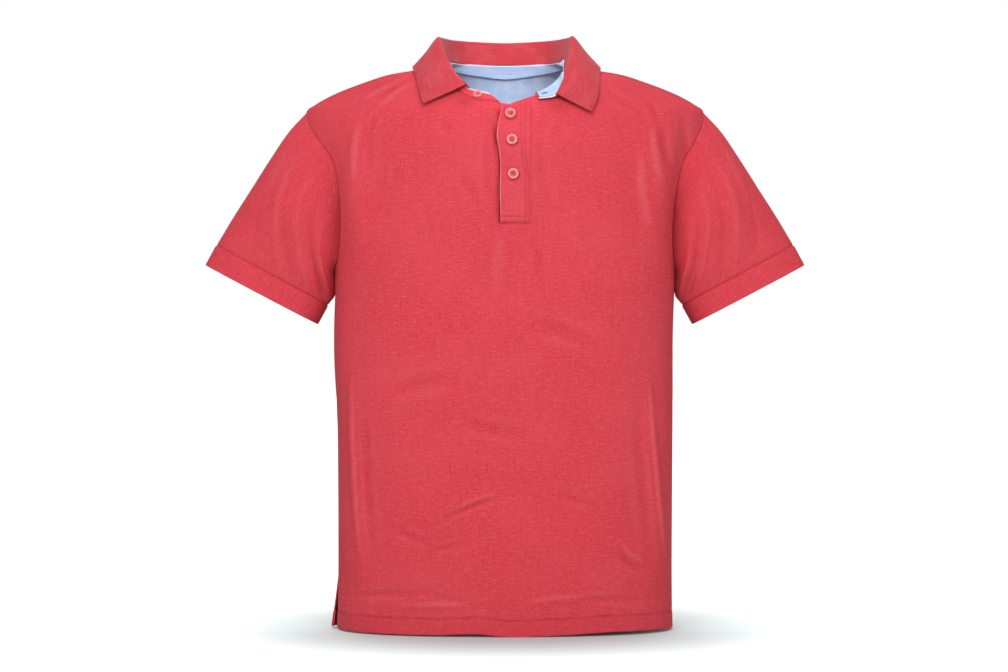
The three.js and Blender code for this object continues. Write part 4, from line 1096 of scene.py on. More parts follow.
# Cuffs: a folded band of the jersey, 27 mm deep, sewn on the end of each sleeve and a
# little proud of it, open at the arm.
cuff_end = (397, -251, 249, -329, 34, 34)
cuff_proud = 1.4
cuff_fold_radius = 1.15
cuff_shares = np.concatenate((np.linspace(0.0, 0.1, 5), np.linspace(0.18, 1, 10)))
wrist = sleeve_stations[-1, 1:]
for side, label in ((-1, 'left'), (1, 'right')):
    points = np.stack([sleeve_ring(wrist + (np.array(cuff_end) - wrist) * share, side, sleeve_turns)
                       for share in cuff_shares])
    normals = side * grid_normals(points, closed=True)
    down_cuff = arc(points, 0)
    ripple = 0.35 * uneven(sleeve_degrees * 1.7 + 11 * side, 2.2)
    proud = cuff_proud * (1 - hump(down_cuff, 1.6)) - 0.5 + ripple * (0.4 + down_cuff / 40)
    points = points + normals * proud[..., None]
    tucked = tucked_edge(points, normals[0], 2.5, 1.2)
    points = np.concatenate((tucked[None], points))
    normals = np.concatenate((normals[:1], normals))
    low = unit(points[-1] - points[-2])
    radius = cuff_fold_radius
    turned = [points[-1] - normals[-1] * radius * (1 - math.cos(a)) + low * radius * math.sin(a)
              for a in np.linspace(0, math.pi, 7)[1:]]
    inner = [points[k] - normals[k] * 2 * radius for k in range(len(points) - 2, 1, -1)]
    full = np.concatenate((points, np.stack(turned), np.stack(inner)))
    closed_ring = np.concatenate((full, full[:, :1]), 1)
    across = arc(closed_ring[:len(points)], 1)
    down = arc(closed_ring, 0)
    uv = np.stack((np.broadcast_to(across[8][None], down.shape) - across[8][armpit], -down), -1)
    # Painted shade on the cuff's underside, and a little more in its top rows along the seam.
    wear_and_painted_light = -0.55 * hump(sleeve_degrees - 166, 25) * np.ones((len(full), 1))
    wear_and_painted_light[:4] -= 0.15
    piece = sheet_object('cuff_band_' + label, full, uv, red_jersey, flip=side < 0, closed=True,
                         wear_and_painted_light=wear_and_painted_light)
    thicken(piece, 0.9)
    declare(piece, 'red_jersey', 'cuff_' + label, flat=(0.39, 0.056), held='folded')

# Neckband: a strip of jersey from the neckline up to the collar, lined inside with pale blue
# chambray. Its right end is unfastened and rolls open, so the lining shows.
collar_stations = np.array([
    (-1, -18, -73, -31),
    (-0.84, -49, -62, -22),
    (-0.66, -63, -48, -8),
    (-0.48, -73, -27, 7),
    (-0.32, -77, 0, 19),
    (-0.15, -52, 56, 20),
    (0, 0, 74, 19),
    (0.15, 52, 56, 20),
    (0.32, 78, 0, 19),
    (0.48, 79, -27, 7),
    (0.66, 77, -52, -8),
    (0.84, 66, -80, -33),
    (1, 38, -84, -37),
])
neck_side_at = 0.32
band_end = 0.97
band_thickness = 0.9


def neck_pattern(at):
    size = np.abs(at)
    forward = np.clip((size - neck_side_at) / (1 - neck_side_at), 0, 1)
    behind = np.clip(1 - size / neck_side_at, 0, 1)
    found = np.zeros(np.shape(at) + (2,))
    for side in (-1, 1):
        front = seams[side]['neck_front'](forward)
        back = seams[side]['neck_back'](behind)
        mine = np.where((size > neck_side_at)[..., None], front, back)
        found = np.where(((at < 0) == (side < 0))[..., None], mine, found)
    return found


def neck_edge(at):
    """Edge of the panels at the neck, with a seat just inside it for the band."""
    pattern = neck_pattern(at)
    point = on_body(pattern)
    normal = normal_on_body(pattern)
    ahead = on_body(neck_pattern(np.clip(at + 0.01, -1, 1)))
    behind = on_body(neck_pattern(np.clip(at - 0.01, -1, 1)))
    across = unit(np.cross(ahead - behind, normal))
    inwards = np.stack((-point[..., 0], -point[..., 1], np.zeros(point.shape[:-1])), -1)
    across = across * np.sign(np.sum(across * inwards, -1, keepdims=True))
    return point + across * 0.8 + normal * 0.6


def band_top(at):
    return np.stack(table_columns(collar_stations, at, (1, 2, 3)), -1)


def smooth_rows(grid, times):
    """Evens a grid out from row to row, its first and last rows held."""
    for _ in range(times):
        grid[1:-1] = (grid[:-2] + 2 * grid[1:-1] + grid[2:]) / 4


left_band_end = 0.995
band_columns = 220
band_tuck_down = 2.4
band_ats = np.linspace(-left_band_end, band_end, band_columns)
band_ups = np.linspace(0, 1, 12)
band_low = neck_edge(band_ats)
band_high = band_top(band_ats)
smooth_rows(band_low, 6)
band_middle = (band_low[None] * (1 - band_ups[:, None, None])
               + band_high[None] * band_ups[:, None, None])
band_normals = -grid_normals(band_middle)
band_normals = np.broadcast_to(band_normals[6:7], band_middle.shape).copy()
smooth_rows(band_normals.swapaxes(0, 1), 4)
band_normals = unit(band_normals)
band_points = band_middle + band_normals * 0.4 * np.sin(math.pi * band_ups)[:, None, None]
band_uv = np.stack((arc(band_points, 1), arc(band_points, 0)), -1)
band_uv[..., 0] -= band_uv[:, band_columns // 2:band_columns // 2 + 1, 0]
band_tuck = tucked_edge(band_points, band_normals[0], band_tuck_down, 1.1)
band_full = np.concatenate((band_tuck[None], band_points))
band_full_uv = np.concatenate((band_uv[:1] - np.array([0, band_tuck_down]), band_uv))
# Painted shade along the foot of the band at the neck seam.
band_painted_shade = -0.34 * hump(np.concatenate(([0], band_ups)), 0.1)[:, None]
band_piece = sheet_object('neckband_outer', band_full, band_full_uv, red_jersey, flip=True,
                          wear_and_painted_light=np.broadcast_to(band_painted_shade, band_full.shape[:2]))
thicken(band_piece, band_thickness)
declare(band_piece, 'red_jersey', 'neckband', flat=(0.56, 0.028), area=0.0068, held='stretched')

weave, weave_in, weave_out = node_group(
    'chambray_weave',
    [('Vector', 'NodeSocketVector', None), ('Colour', 'NodeSocketColor', (0.43, 0.52, 0.72, 1)),
     ('Pale', 'NodeSocketColor', (0.66, 0.74, 0.86, 1)), ('Threads', 'NodeSocketFloat', 1500.0),
     ('Mottle', 'NodeSocketFloat', 0.5)],
    [('Colour', 'NodeSocketColor'), ('Height', 'NodeSocketFloat')])
plane = weave.nodes.new('ShaderNodeSeparateXYZ')
weave.links.new(weave_in.outputs['Vector'], plane.inputs[0])
warp = math_node(weave, 'MULTIPLY', plane.outputs['X'], weave_in.outputs['Threads'])
weft = math_node(weave, 'MULTIPLY', plane.outputs['Y'], weave_in.outputs['Threads'])
warp_wave = math_node(weave, 'PINGPONG', warp, 0.5)
weft_wave = math_node(weave, 'PINGPONG', math_node(weave, 'ADD', weft, 0.5), 0.5)
crossing = math_node(weave, 'MULTIPLY', warp_wave, weft_wave)
warp_yarn = stretched_noise(weave, weave_in.outputs['Vector'], 1300, 60, 2)
weft_yarn = stretched_noise(weave, weave_in.outputs['Vector'], 60, 1300, 2)
cloud = stretched_noise(weave, weave_in.outputs['Vector'], 42, 48, 4)
pale = weave_in.outputs['Pale']
tone = tint(weave, weave_in.outputs['Colour'], pale, warp_yarn, 0.4, 0.75, 0.5)
tone = tint(weave, tone, pale, weft_yarn, 0.42, 0.78, 0.4)
tone = tint(weave, tone, pale, cloud, 0.44, 0.66, weave_in.outputs['Mottle'])
weave.links.new(tone, weave_out.inputs['Colour'])
weave.links.new(math_node(weave, 'ADD', crossing, math_node(weave, 'MULTIPLY', warp_yarn, 0.6)),
                weave_out.inputs['Height'])


def chambray_material(name, colour, pale, **values):
    return cloth_material(name, weave, {'Colour': colour, 'Pale': pale, **values},
                          roughness=0.85, sheen=0.1, bump=0.3, sheen_tint=(0.9, 0.95, 1, 1))


blue_band = chambray_material('blue_band', (0.36, 0.48, 0.75, 1), (0.52, 0.62, 0.82, 1))

# Half-moon facing inside the back of the neck: chambray laid flat on the inside of the
# back, with its rounded lower edge turned under and stitched.
facing_depth = 96
facing_inset = 2
facing_clear = 1.5
facing_roundness = 0.97
facing_columns = np.flatnonzero(column_share > shoulder_share['back'] + 0.045)
facing_aside = np.linspace(-1, 1, len(facing_columns))
facing_rows = np.linspace(1, 0, 34)
top_arc = (up_back[-1:] - up_back)[::-1]
facing_grid = np.zeros((len(facing_rows), len(facing_columns), 3))
facing_uv = np.zeros((len(facing_rows), len(facing_columns), 2))
inside_back = back_points - back_normals * (jersey_thickness + facing_clear)
for k, j in enumerate(facing_columns):
    round_share = math.sqrt(1 - facing_roundness * facing_aside[k]**2)
    depths = facing_depth * round_share * facing_rows + facing_inset
    for c in range(3):
        facing_grid[:, k, c] = np.interp(depths, top_arc[:, j], inside_back[::-1, j, c])
    facing_uv[:, k, 0] = across_back[-20, j] - across_back[-20, back_middle]
    facing_uv[:, k, 1] = -depths
smooth_rows(facing_grid, 220)
# The facing is the band lining's chambray in paler, brighter colours, as painted light against the
# shade inside the back of the neck.
chambray = chambray_material('chambray_facing', (0.45, 0.62, 0.98, 1), (0.70, 0.82, 1.0, 1),
                             Mottle=0.75)
facing_piece = sheet_object('neck_half_moon', facing_grid, facing_uv, chambray)
thicken(facing_piece, 0.8, edge=0.25)
declare(facing_piece, 'blue_chambray', 'back_neck_facing', flat=(0.30, 0.11), area=0.0265,
        held='stretched')

# Lining of the neckband: a strip of the chambray sewn to the band along its top, which laps
# over the upper edge of the half-moon behind.
lining_points = band_points - band_normals * 2.2
lap_share = step_down(np.abs(band_ats) - neck_side_at, 0.012)[:, None]
lap_down = unit(lining_points[0] - lining_points[3])
lap_rows, lap_uv = [], []
for down_by, in_by in ((6, 0.5), (4.8, 0.5), (3.6, 0.4), (2.4, 0.3), (1.2, 0.15)):
    lap_rows.append(lining_points[0] + (lap_down * down_by - band_normals[0] * in_by) * lap_share
                    + lap_down * 0.1 * down_by)
    lap_uv.append(band_uv[0] - np.array([0, down_by]))
lining_points = np.concatenate((np.stack(lap_rows), lining_points))[:, 1:-1]
lining_uv = np.concatenate((np.stack(lap_uv), band_uv))[:, 1:-1]
lining_piece = sheet_object('neckband_chambray', lining_points, lining_uv, blue_band)
thicken(lining_piece, 0.8, edge=0.25)
declare(lining_piece, 'blue_chambray', 'neckband_lining', flat=(0.56, 0.028), area=0.0068,
        held='stretched')

# Collar: one piece of fine flat-knit rib, standing up from the band, folded over, and
# falling on the shoulders to two soft points.
collar_reach = 0.84
collar_thickness = 1.9
leaf_stations = np.array([
    (-0.84, -51, -70, -17, -107, -88, -44, 3),
    (-0.66, -66, -63, -1, -111, -70, -29, 3),
    (-0.48, -79, -40, 25, -117, -38, -5, 0),
    (-0.32, -88, -2, 51, -123, 4, 11, -2),
    (-0.15, -60, 66, 52.5, -82, 86, 2, 1),
    (0, 0, 86, 51.5, 0, 106, -3, 3),
    (0.15, 60, 66, 52.5, 84, 86, 2, 1),
    (0.32, 89, -2, 52, 127, 4, 10, -2),
    (0.48, 86, -38, 24, 124, -38, -7, 0),
    (0.66, 80, -62, -3, 121, -74, -33, 3),
    (0.84, 68, -86, -31, 113, -96, -55, 3),
])
fold_radius = 3
fold_inner_side = 0.8
fold_outer_side = 2.2


def leaf_column(first, at):
    return np.stack(table_columns(leaf_stations, at, range(first, first + 3)), -1)


def centripetal(points, shares, steps=24):
    """Smooth line through a few points, knots spaced by the root of their distance."""
    points = np.asarray(points, float)
    padded = np.concatenate(([2 * points[0] - points[1]], points, [2 * points[-1] - points[-2]]))
    t = np.linspace(0, 1, steps, endpoint=False)[:, None]
    line = []
    for i in range(len(points) - 1):
        p0, p1, p2, p3 = padded[i:i + 4]
        d0, d1, d2 = (max(np.linalg.norm(b - a), 1e-6)**0.5
                      for a, b in ((p0, p1), (p1, p2), (p2, p3)))
        v1 = ((p1 - p0) / d0 - (p2 - p0) / (d0 + d1) + (p2 - p1) / d1) * d1
        v2 = ((p2 - p1) / d1 - (p3 - p1) / (d1 + d2) + (p3 - p2) / d2) * d1
        line.append(p1 + v1 * t + (-3 * p1 + 3 * p2 - 2 * v1 - v2) * t**2
                    + (2 * p1 - 2 * p2 + v1 + v2) * t**3)
    line = np.concatenate(line + [points[-1:]])
    lengths = run_lengths(line)
    return read_rows(shares * lengths[-1], lengths, line)


collar_columns = 260
collar_ats = np.linspace(-collar_reach, collar_reach, collar_columns)
collar_shares = np.linspace(0, 1, 56)
tops, folds, edges = band_top(collar_ats), leaf_column(1, collar_ats), leaf_column(4, collar_ats)
bows, = table_columns(leaf_stations, collar_ats, [7])
to_band = unit(tops - folds)
band_up = unit(tops - neck_edge(collar_ats))
bend = 1 - np.maximum(-np.sum(band_up * to_band, -1), 0)**2
starts = tops + band_up * (0.8 + 2.2 * np.sqrt(bend))[:, None]
to_edge = unit(edges - folds)
aside = unit(to_edge - to_band * np.sum(to_edge * to_band, -1, keepdims=True))
inside = folds + to_band * fold_radius - aside * fold_inner_side
outside = folds + to_edge * fold_radius + aside * fold_outer_side
middles = (outside + edges) / 2 + aside * bows[:, None]
collar_grid = np.stack([
    centripetal([starts[k], (starts[k] + inside[k]) / 2, inside[k], folds[k], outside[k],
                 middles[k], edges[k]], collar_shares)
    for k in range(len(collar_ats))], 1)
collar_normals = grid_normals(collar_grid)
collar_points = collar_grid + collar_normals * collar_thickness / 2
collar_across, collar_up = arc(collar_grid, 1), arc(collar_grid, 0)
collar_middle = collar_across[:, collar_columns // 2:collar_columns // 2 + 1]
collar_uv = np.stack((collar_across - collar_middle, collar_up), -1)

rib, rib_in, rib_out = node_group(
    'flat_rib',
    [('Vector', 'NodeSocketVector', None), ('Colour', 'NodeSocketColor', (0.62, 0.07, 0.09, 1)),
     ('Pale', 'NodeSocketColor', (0.74, 0.2, 0.22, 1)),
     ('Dark', 'NodeSocketColor', (0.48, 0.04, 0.06, 1)), ('Ribs', 'NodeSocketFloat', 620.0)],
    [('Colour', 'NodeSocketColor'), ('Height', 'NodeSocketFloat')])
plane = rib.nodes.new('ShaderNodeSeparateXYZ')
rib.links.new(rib_in.outputs['Vector'], plane.inputs[0])
ridges = math_node(rib, 'PINGPONG', math_node(rib, 'MULTIPLY', plane.outputs['X'],
                                              rib_in.outputs['Ribs']), 0.5)
courses = math_node(rib, 'PINGPONG', math_node(rib, 'MULTIPLY', plane.outputs['Y'], 900.0), 0.5)
yarn = stretched_noise(rib, rib_in.outputs['Vector'], 30, 500, 3)
# A large pale mottle of wear on the rib.
wear_and_painted_light = stretched_noise(rib, rib_in.outputs['Vector'], 30, 34, 4)
speck = stretched_noise(rib, rib_in.outputs['Vector'], 800, 800, 1)
tone = tint(rib, rib_in.outputs['Colour'], rib_in.outputs['Pale'], yarn, 0.48, 0.75, 0.45)
tone = tint(rib, tone, rib_in.outputs['Pale'], wear_and_painted_light, 0.45, 0.7, 0.4)
tone = tint(rib, tone, rib_in.outputs['Dark'], speck, 0.58, 0.3, 0.35)
rib.links.new(tone, rib_out.inputs['Colour'])
rib.links.new(math_node(rib, 'ADD', math_node(rib, 'MULTIPLY', ridges, 2.0),
                        math_node(rib, 'ADD', courses, math_node(rib, 'MULTIPLY', speck, 0.5))),
              rib_out.inputs['Height'])
red_rib = cloth_material(
    'red_flat_knit', rib,
    {'Colour': (0.50, 0.043, 0.057, 1), 'Pale': (0.62, 0.105, 0.125, 1),
     'Dark': (0.40, 0.028, 0.04, 1)},
    roughness=0.9, sheen=0.14, bump=0.4)
collar_piece = sheet_object('collar_knit', collar_points, collar_uv, red_rib)
thicken(collar_piece, collar_thickness, edge=0.55)
declare(collar_piece, 'red_flat_knit', 'collar', flat=(0.50, 0.092), area=0.0405, held='folded')

# Upper placket: a double band of jersey, folded at its free left edge, which stands a little
# off the shirt. It is sewn down along its right side, and at its foot by a stitched box.
placket_top_left_z = -49
placket_top_middle_z = -44.5
placket_top_right_z = -36
placket_top_turn = 0.35
placket_overlap = 2
placket_thickness = 1.8
seam_gap = 0.3
placket_stitch_rows = np.array([
    (-200, 26.4, 30.3),
    (-140, 26.2, 30.2),
    (-108, 21.5, 26),
    (-36, 20.5, 25.5),
])
box_stitch_z = -192
placket_buttons = {'button_top': (7, -58.5), 'button_middle': (9, -92.5),
                   'button_low': (10.5, -137)}


def patch_on_front(x, z, lift):
    """Points over the front at distances across and heights, lifted off its surface."""
    pattern = place('front', x, z)
    return on_body(pattern) + normal_on_body(pattern) * np.asarray(lift)[..., None]


placket_us = close_set(0, 1, 0.0145, 0.007, 0.06)[None]
placket_vs = close_set(0, 1, 0.0062, 0.003, 0.04)[:, None]
placket_tops = np.interp(placket_us, (0, placket_top_turn, 1),
                         (placket_top_left_z, placket_top_middle_z, placket_top_right_z))
placket_z = placket_end_z + (placket_tops - placket_end_z) * placket_vs
placket_left, = table_columns(placket_edge_rows, placket_z, [1])
placket_x = placket_left + (placket_right_x + placket_overlap - placket_left) * placket_us
from_fold = placket_x - placket_left
placket_lift = (seam_gap + placket_thickness
                + (1.7 + 0.6 * uneven(placket_z * 0.6, 0.4)) * hump(from_fold, 5)
                - 0.5 * hump(from_fold, 0.8)
                + 0.3 * uneven(placket_z * 0.9 + placket_x, 1.9))
stitch_xs = table_columns(placket_stitch_rows, placket_z, (1, 2))
foot_stitch_z = placket_end_z + 1.8
pull = 0.75 + 0.3 * uneven(placket_z * 2.1, 1.7)
for stitch_x in stitch_xs:
    placket_lift = placket_lift - 0.55 * pull * hump(placket_x - stitch_x, 0.8)
for stitch_z in (box_stitch_z, foot_stitch_z):
    placket_lift = placket_lift - 0.5 * hump(placket_z - stitch_z, 0.8)
placket_lift = placket_lift + 0.3 * uneven(placket_z * 2.4, 3.1) * hump(placket_x - 26, 2.6)
for button_x, button_z in placket_buttons.values():
    aside, above = placket_x - button_x, placket_z - button_z
    reach = np.hypot(aside, above)
    placket_lift = placket_lift - 0.7 * hump(reach, 7)
    crease = hump(above + 5.5 + 0.25 * aside, 1.6) * hump(aside, 11)
    placket_lift = placket_lift + 0.55 * crease - 0.4 * hump(above - 7, 2.2) * hump(aside, 9)
placket_grid = patch_on_front(placket_x, placket_z, placket_lift)
placket_uv = np.stack((placket_x, placket_z), -1)
# Painted light of the placket: painted highlight along its folded edge, painted shade in its stitch
# lines, a painted shadow ring round each button and painted shade near its top under the collar. It
# is also made slightly paler all over.
placket_painted_light = 0.6 * hump(from_fold, 0.9) * (0.8 + 0.3 * uneven(placket_z, 2.7))
for stitch_x in stitch_xs:
    placket_painted_light = placket_painted_light - 0.17 * hump(placket_x - stitch_x, 0.9)
for stitch_z in (box_stitch_z, placket_end_z + 1.0):
    placket_painted_light = placket_painted_light - 0.2 * hump(placket_z - stitch_z, 1.0)
for button_x, button_z in placket_buttons.values():
    ring = np.hypot(placket_x - button_x - 0.4, placket_z - button_z + 0.5) - 7.4
    placket_painted_light = placket_painted_light - 0.5 * hump(ring, 1.2)
placket_painted_light = placket_painted_light + 0.025 - 0.13 * hump(placket_z + 50, 16)
placket_painted_light = np.clip(placket_painted_light, -0.7, 0.6)
upper_placket = sheet_object('placket_band', placket_grid, placket_uv, red_jersey,
                             wear_and_painted_light=np.broadcast_to(placket_painted_light, placket_x.shape))
thicken(upper_placket, placket_thickness, edge=0.75)
declare(upper_placket, 'red_jersey', 'placket_upper', flat=(0.04, 0.156), area=0.0060,
        held='folded')

# Under placket: the other double band of jersey, sewn to the far side of the slot. It lies
# under the first one and closes the slot.
under_us = np.linspace(0, 1, 24)[None]
under_vs = np.linspace(0, 1, 90)[:, None]
under_left_x = -10
under_x = under_left_x + (placket_right_x - under_left_x - seam_gap) * under_us
under_tops = -41 + (-47 + 41) * under_us
under_z = placket_slot_z + seam_gap + (under_tops - placket_slot_z - seam_gap) * under_vs
under_x, under_z = np.broadcast_arrays(under_x, under_z)
under_drop = 0.7 + 1.1 * np.clip((-4.5 - under_x) / 1.5, 0, 1) + placket_trough(under_x, under_z)
under_grid = patch_on_front(under_x, under_z, -under_drop)
under_placket = sheet_object('placket_under_band', under_grid, np.stack((under_x, under_z), -1),
                             red_jersey)
thicken(under_placket, 1.3, edge=0.5)
declare(under_placket, 'red_jersey', 'placket_under', flat=(0.037, 0.15), area=0.0053,
        held='folded')


# Thread: twisted sewing thread, in the red of the cloth and in the blue of the lining. Each
# stitch is a short rounded piece that sinks into the cloth at both its ends.
def thread_material(name, pale, dark):
    """Two-tone thread, its twist drawn by short bands across each stitch."""
    material, tree, shader = new_material(name, 0.6)
    shader.inputs['Sheen Weight'].default_value = 0.2
    place_of = tree.nodes.new('ShaderNodeTexCoord')
    twist = tree.nodes.new('ShaderNodeTexWave')
    twist.bands_direction = 'DIAGONAL'
    twist.inputs['Scale'].default_value = 900
    twist.inputs['Distortion'].default_value = 1.5
    tree.links.new(place_of.outputs['Object'], twist.inputs['Vector'])
    tone = colour_mix(tree, twist.outputs['Fac'], dark, pale)
    tree.links.new(tone, shader.inputs['Base Color'])
    relief = tree.nodes.new('ShaderNodeBump')
    relief.inputs['Distance'].default_value = 0.0001
    tree.links.new(twist.outputs['Fac'], relief.inputs['Height'])
    tree.links.new(relief.outputs['Normal'], shader.inputs['Normal'])
    return material


red_thread = thread_material('red_thread', (0.62, 0.055, 0.07, 1), (0.45, 0.03, 0.045, 1))
blue_thread = thread_material('blue_thread', (0.20, 0.30, 0.55, 1), (0.12, 0.20, 0.42, 1))

stitch_pitch = 3.0
stitch_length = 2.3
stitch_radius = 0.24
stitch_corners = 5

# Rings of a stitch: share along it, share of its radius, and how far it sinks in radii.
stitch_rings = ((-0.5, 0.35, -0.9), (-0.3, 1, 0), (0.3, 1, 0), (0.5, 0.35, -0.9))


def stitch_set(name, runs, material, slot):
    """One joined mesh of small stitches along each run of points and normals."""
    centres, forwards, ups = [], [], []
    for points, normals in runs:
        lengths = run_lengths(points)
        places = np.arange(stitch_pitch / 2, lengths[-1], stitch_pitch)
        behind, middle, ahead = (read_rows(places + shift, lengths, points)
                                 for shift in (-0.6, 0, 0.6))
        centres.append(middle)
        forwards.append(unit(ahead - behind))
        ups.append(unit(read_rows(places, lengths, normals)))
    centres, forwards, ups = (np.concatenate(rows) for rows in (centres, forwards, ups))
    sides = unit(np.cross(forwards, ups))
    rings = []
    for along, wide, sink in stitch_rings:
        middle = centres + forwards * along * stitch_length + ups * stitch_radius * (0.35 + sink)
        for corner in np.arange(stitch_corners) * 2 * math.pi / stitch_corners:
            rings.append(middle + (sides * math.cos(corner) + ups * math.sin(corner))
                         * stitch_radius * wide)
    points = np.stack(rings, 1)
    faces = []
    for low in range(0, stitch_corners * 3, stitch_corners):
        for corner in range(stitch_corners):
            after = (corner + 1) % stitch_corners
            faces.append((low + corner, low + after, low + stitch_corners + after,
                          low + stitch_corners + corner))
    firsts = np.arange(len(points)) * len(rings)
    last_ring = len(rings) - stitch_corners
    all_faces = (firsts[:, None, None] + np.array(faces)[None]).reshape(-1, 4).tolist()
    all_faces += (firsts[:, None] + np.arange(stitch_corners - 1, -1, -1)[None]).tolist()
    all_faces += (firsts[:, None] + np.arange(last_ring, len(rings))[None]).tolist()
    made = mesh_object(name, points.reshape(-1, 3), all_faces, material)
    declare(made, slot)


def run_across(points, normals, heights, height, keep=None):
    """Line across a sheet at one height up it."""
    columns = range(points.shape[1]) if keep is None else keep
    line = [[np.interp(height, heights[:, j], points[:, j, k]) for k in range(3)] for j in columns]
    up = [[np.interp(height, heights[:, j], normals[:, j, k]) for k in range(3)] for j in columns]
    return np.array(line), np.array(up)


def run_up(points, normals, across, distance, rows):
    """Line up a sheet at a distance in from its left edge, over the rows chosen."""
    reach = np.broadcast_to(distance, len(points))
    line = [[np.interp(reach[i], across[i], points[i, :, k]) for k in range(3)] for i in rows]
    up = [[np.interp(reach[i], across[i], normals[i, :, k]) for k in range(3)] for i in rows]
    return np.array(line), np.array(up)


# Stitches of the hem, the open vent, the armholes, the shoulders and the cuffs: one line of
# machine stitches in red thread beside each seam.
panels = ((front_points, front_normals, across_front), (back_points, back_normals, across_back))
hem_runs = [run_across(front_points, front_normals, up_front, hem_depth),
            run_across(back_points, back_normals, up_back, hem_depth)]
stitch_set('hem_stitches', hem_runs, red_thread, 'red_jersey')

vent_rows = np.flatnonzero(front_points[:, 0, 2] < vent_top_z + 6)
vent_in = 7.5
vent_runs = [run_up(*panel, vent_in, vent_rows) for panel in panels]
vent_top = np.linspace(0.5, vent_in, 6)
top_row = int(vent_rows[-1])
vent_runs += [(read_rows(vent_top, across[top_row], points[top_row]),
               read_rows(vent_top, across[top_row], normals[top_row]))
              for points, normals, across in panels]
stitch_set('vent_stitches', vent_runs, red_thread, 'red_jersey')

armhole_in = 6
armhole_rows_at = np.flatnonzero(panel_row_at > side_rows + 0.15)
armhole_runs = []
for points, normals, across in panels:
    armhole_runs.append(run_up(points, normals, across, armhole_in, armhole_rows_at))
    mirrored = (across[:, -1:] - across)[:, ::-1]
    armhole_runs.append(run_up(points[:, ::-1], normals[:, ::-1], mirrored, armhole_in,
                               armhole_rows_at))
stitch_set('armhole_stitches', armhole_runs, red_thread, 'red_jersey')

shoulder_in = 6
shoulder_columns = np.flatnonzero(panel_column_at < shoulder_share['front'] - 0.01)
from_shoulder = (up_front[-1:] - up_front)[::-1]
shoulder_runs = [
    run_across(front_points[::-1], front_normals[::-1], from_shoulder, shoulder_in, keep)
    for keep in (shoulder_columns, front_points.shape[1] - 1 - shoulder_columns)]
stitch_set('shoulder_stitches', shoulder_runs, red_thread, 'red_jersey')

cuff_row = -4
cuff_runs = [tuple(np.concatenate((rows[cuff_row], rows[cuff_row, :1]))
                   for rows in sleeve_grids[side]) for side in (-1, 1)]
stitch_set('cuff_stitches', cuff_runs, red_thread, 'red_jersey')

# Stitches of the placket: two lines down its right side and a box at its foot, which hold the
# folded band and close the end of the slot.
placket_up = grid_normals(placket_grid)
placket_runs = []
rows = np.flatnonzero(placket_z[:, -1] > placket_end_z + 1.5)
keep = np.flatnonzero((from_fold[0] > 1.2) & (placket_x[0] < 30))
for stitch_x in stitch_xs:
    placket_runs.append(run_up(placket_grid, placket_up, placket_x, stitch_x[:, -1], rows))
for stitch_z in (box_stitch_z, foot_stitch_z):
    placket_runs.append(run_across(placket_grid, placket_up, placket_z, stitch_z, keep))
stitch_set('placket_stitches', placket_runs, red_thread, 'red_jersey')

# Stitches of the neck: two lines along the chambray band, and one round the half-moon's
# turned edge, in blue thread.
lining_up = -np.concatenate((np.repeat(band_normals[:1], 5, 0), band_normals))[:, 1:-1]
middle_part = slice(4, -4)
neck_runs = [(lining_points[row, middle_part], lining_up[row, middle_part]) for row in (2, 5)]
neck_runs.append((facing_grid[1], grid_normals(facing_grid)[1]))
stitch_set('neck_stitches', neck_runs, blue_thread, 'blue_chambray')

# Piping: the chambray edge of the lining, rolled over the top of the neckband, where it shows
# as a narrow pale line.
piping_radius = 0.9
piping_over = step_down(0.85 - np.abs(band_ats), 0.01)[:, None]
piping_line = (band_high - band_normals[-1] * (1.35 - 1.0 * piping_over)
               + unit(band_high - band_low) * (0.6 + 0.5 * piping_over))
piping_ahead = unit(np.gradient(piping_line, axis=0))
piping_out = band_normals[-1]
piping_up = unit(np.cross(piping_ahead, piping_out))
piping_sides = 10
piping_turns = np.arange(piping_sides) * 2 * math.pi / piping_sides
piping_grid = np.stack([piping_line + (piping_out * math.cos(a) + piping_up * math.sin(a))
                        * piping_radius for a in piping_turns], 1)
piping_uv = np.stack(np.broadcast_arrays(piping_turns[None] * piping_radius,
                                         arc(piping_line[:, None], 0)), -1)
piping_round = np.array([2 * math.pi * piping_radius, 0])
piping_uv = np.concatenate((piping_uv, piping_uv[:, :1] + piping_round), 1)
pale_piping = chambray_material('pale_piping', (0.66, 0.68, 0.80, 1), (0.84, 0.84, 0.90, 1))
piping = sheet_object('band_piping', piping_grid, piping_uv, pale_piping, closed=True)
select_only(piping)
bpy.ops.object.mode_set(mode='EDIT')
bpy.ops.mesh.select_all(action='SELECT')
bpy.ops.mesh.fill_holes(sides=piping_sides)
bpy.ops.mesh.normals_make_consistent(inside=False)
bpy.ops.object.mode_set(mode='OBJECT')
declare(piping, 'blue_chambray')

# Buttonhole in the open end of the neckband: a thin dark sheet on the band's lining, painted
# shade that stands for the slit, between two rows of close stitches.
hole_at = 0.925
hole_length = 8
hole_column = int(np.argmin(np.abs(band_ats[1:-1] - hole_at)))
hole_middle = lining_points[11, hole_column]
hole_up = lining_up[11, hole_column]
hole_slant = np.array([0.8, 0, 0.6])
hole_along = unit(hole_slant - hole_up * np.sum(hole_slant * hole_up))
hole_side = unit(np.cross(hole_up, hole_along))
hole_shares = np.linspace(-0.5, 0.5, 17)
slit_half = 0.55 * np.sqrt(np.maximum(1 - (2 * hole_shares)**2, 0)) + 0.05
slit_grid = np.stack([hole_middle + hole_up * 0.28 + hole_along * hole_length * hole_shares[:, None]
                      + hole_side * (slit_half * way)[:, None] for way in (-1, 1)])
slit_paint, slit_tree, slit_shader = new_material('buttonhole_shade', 1)
slit_noise = slit_tree.nodes.new('ShaderNodeTexNoise')
slit_noise.inputs['Scale'].default_value = 900
slit_tone = colour_mix(slit_tree, slit_noise.outputs['Fac'], (0.01, 0.012, 0.03, 1),
                       (0.04, 0.045, 0.09, 1))
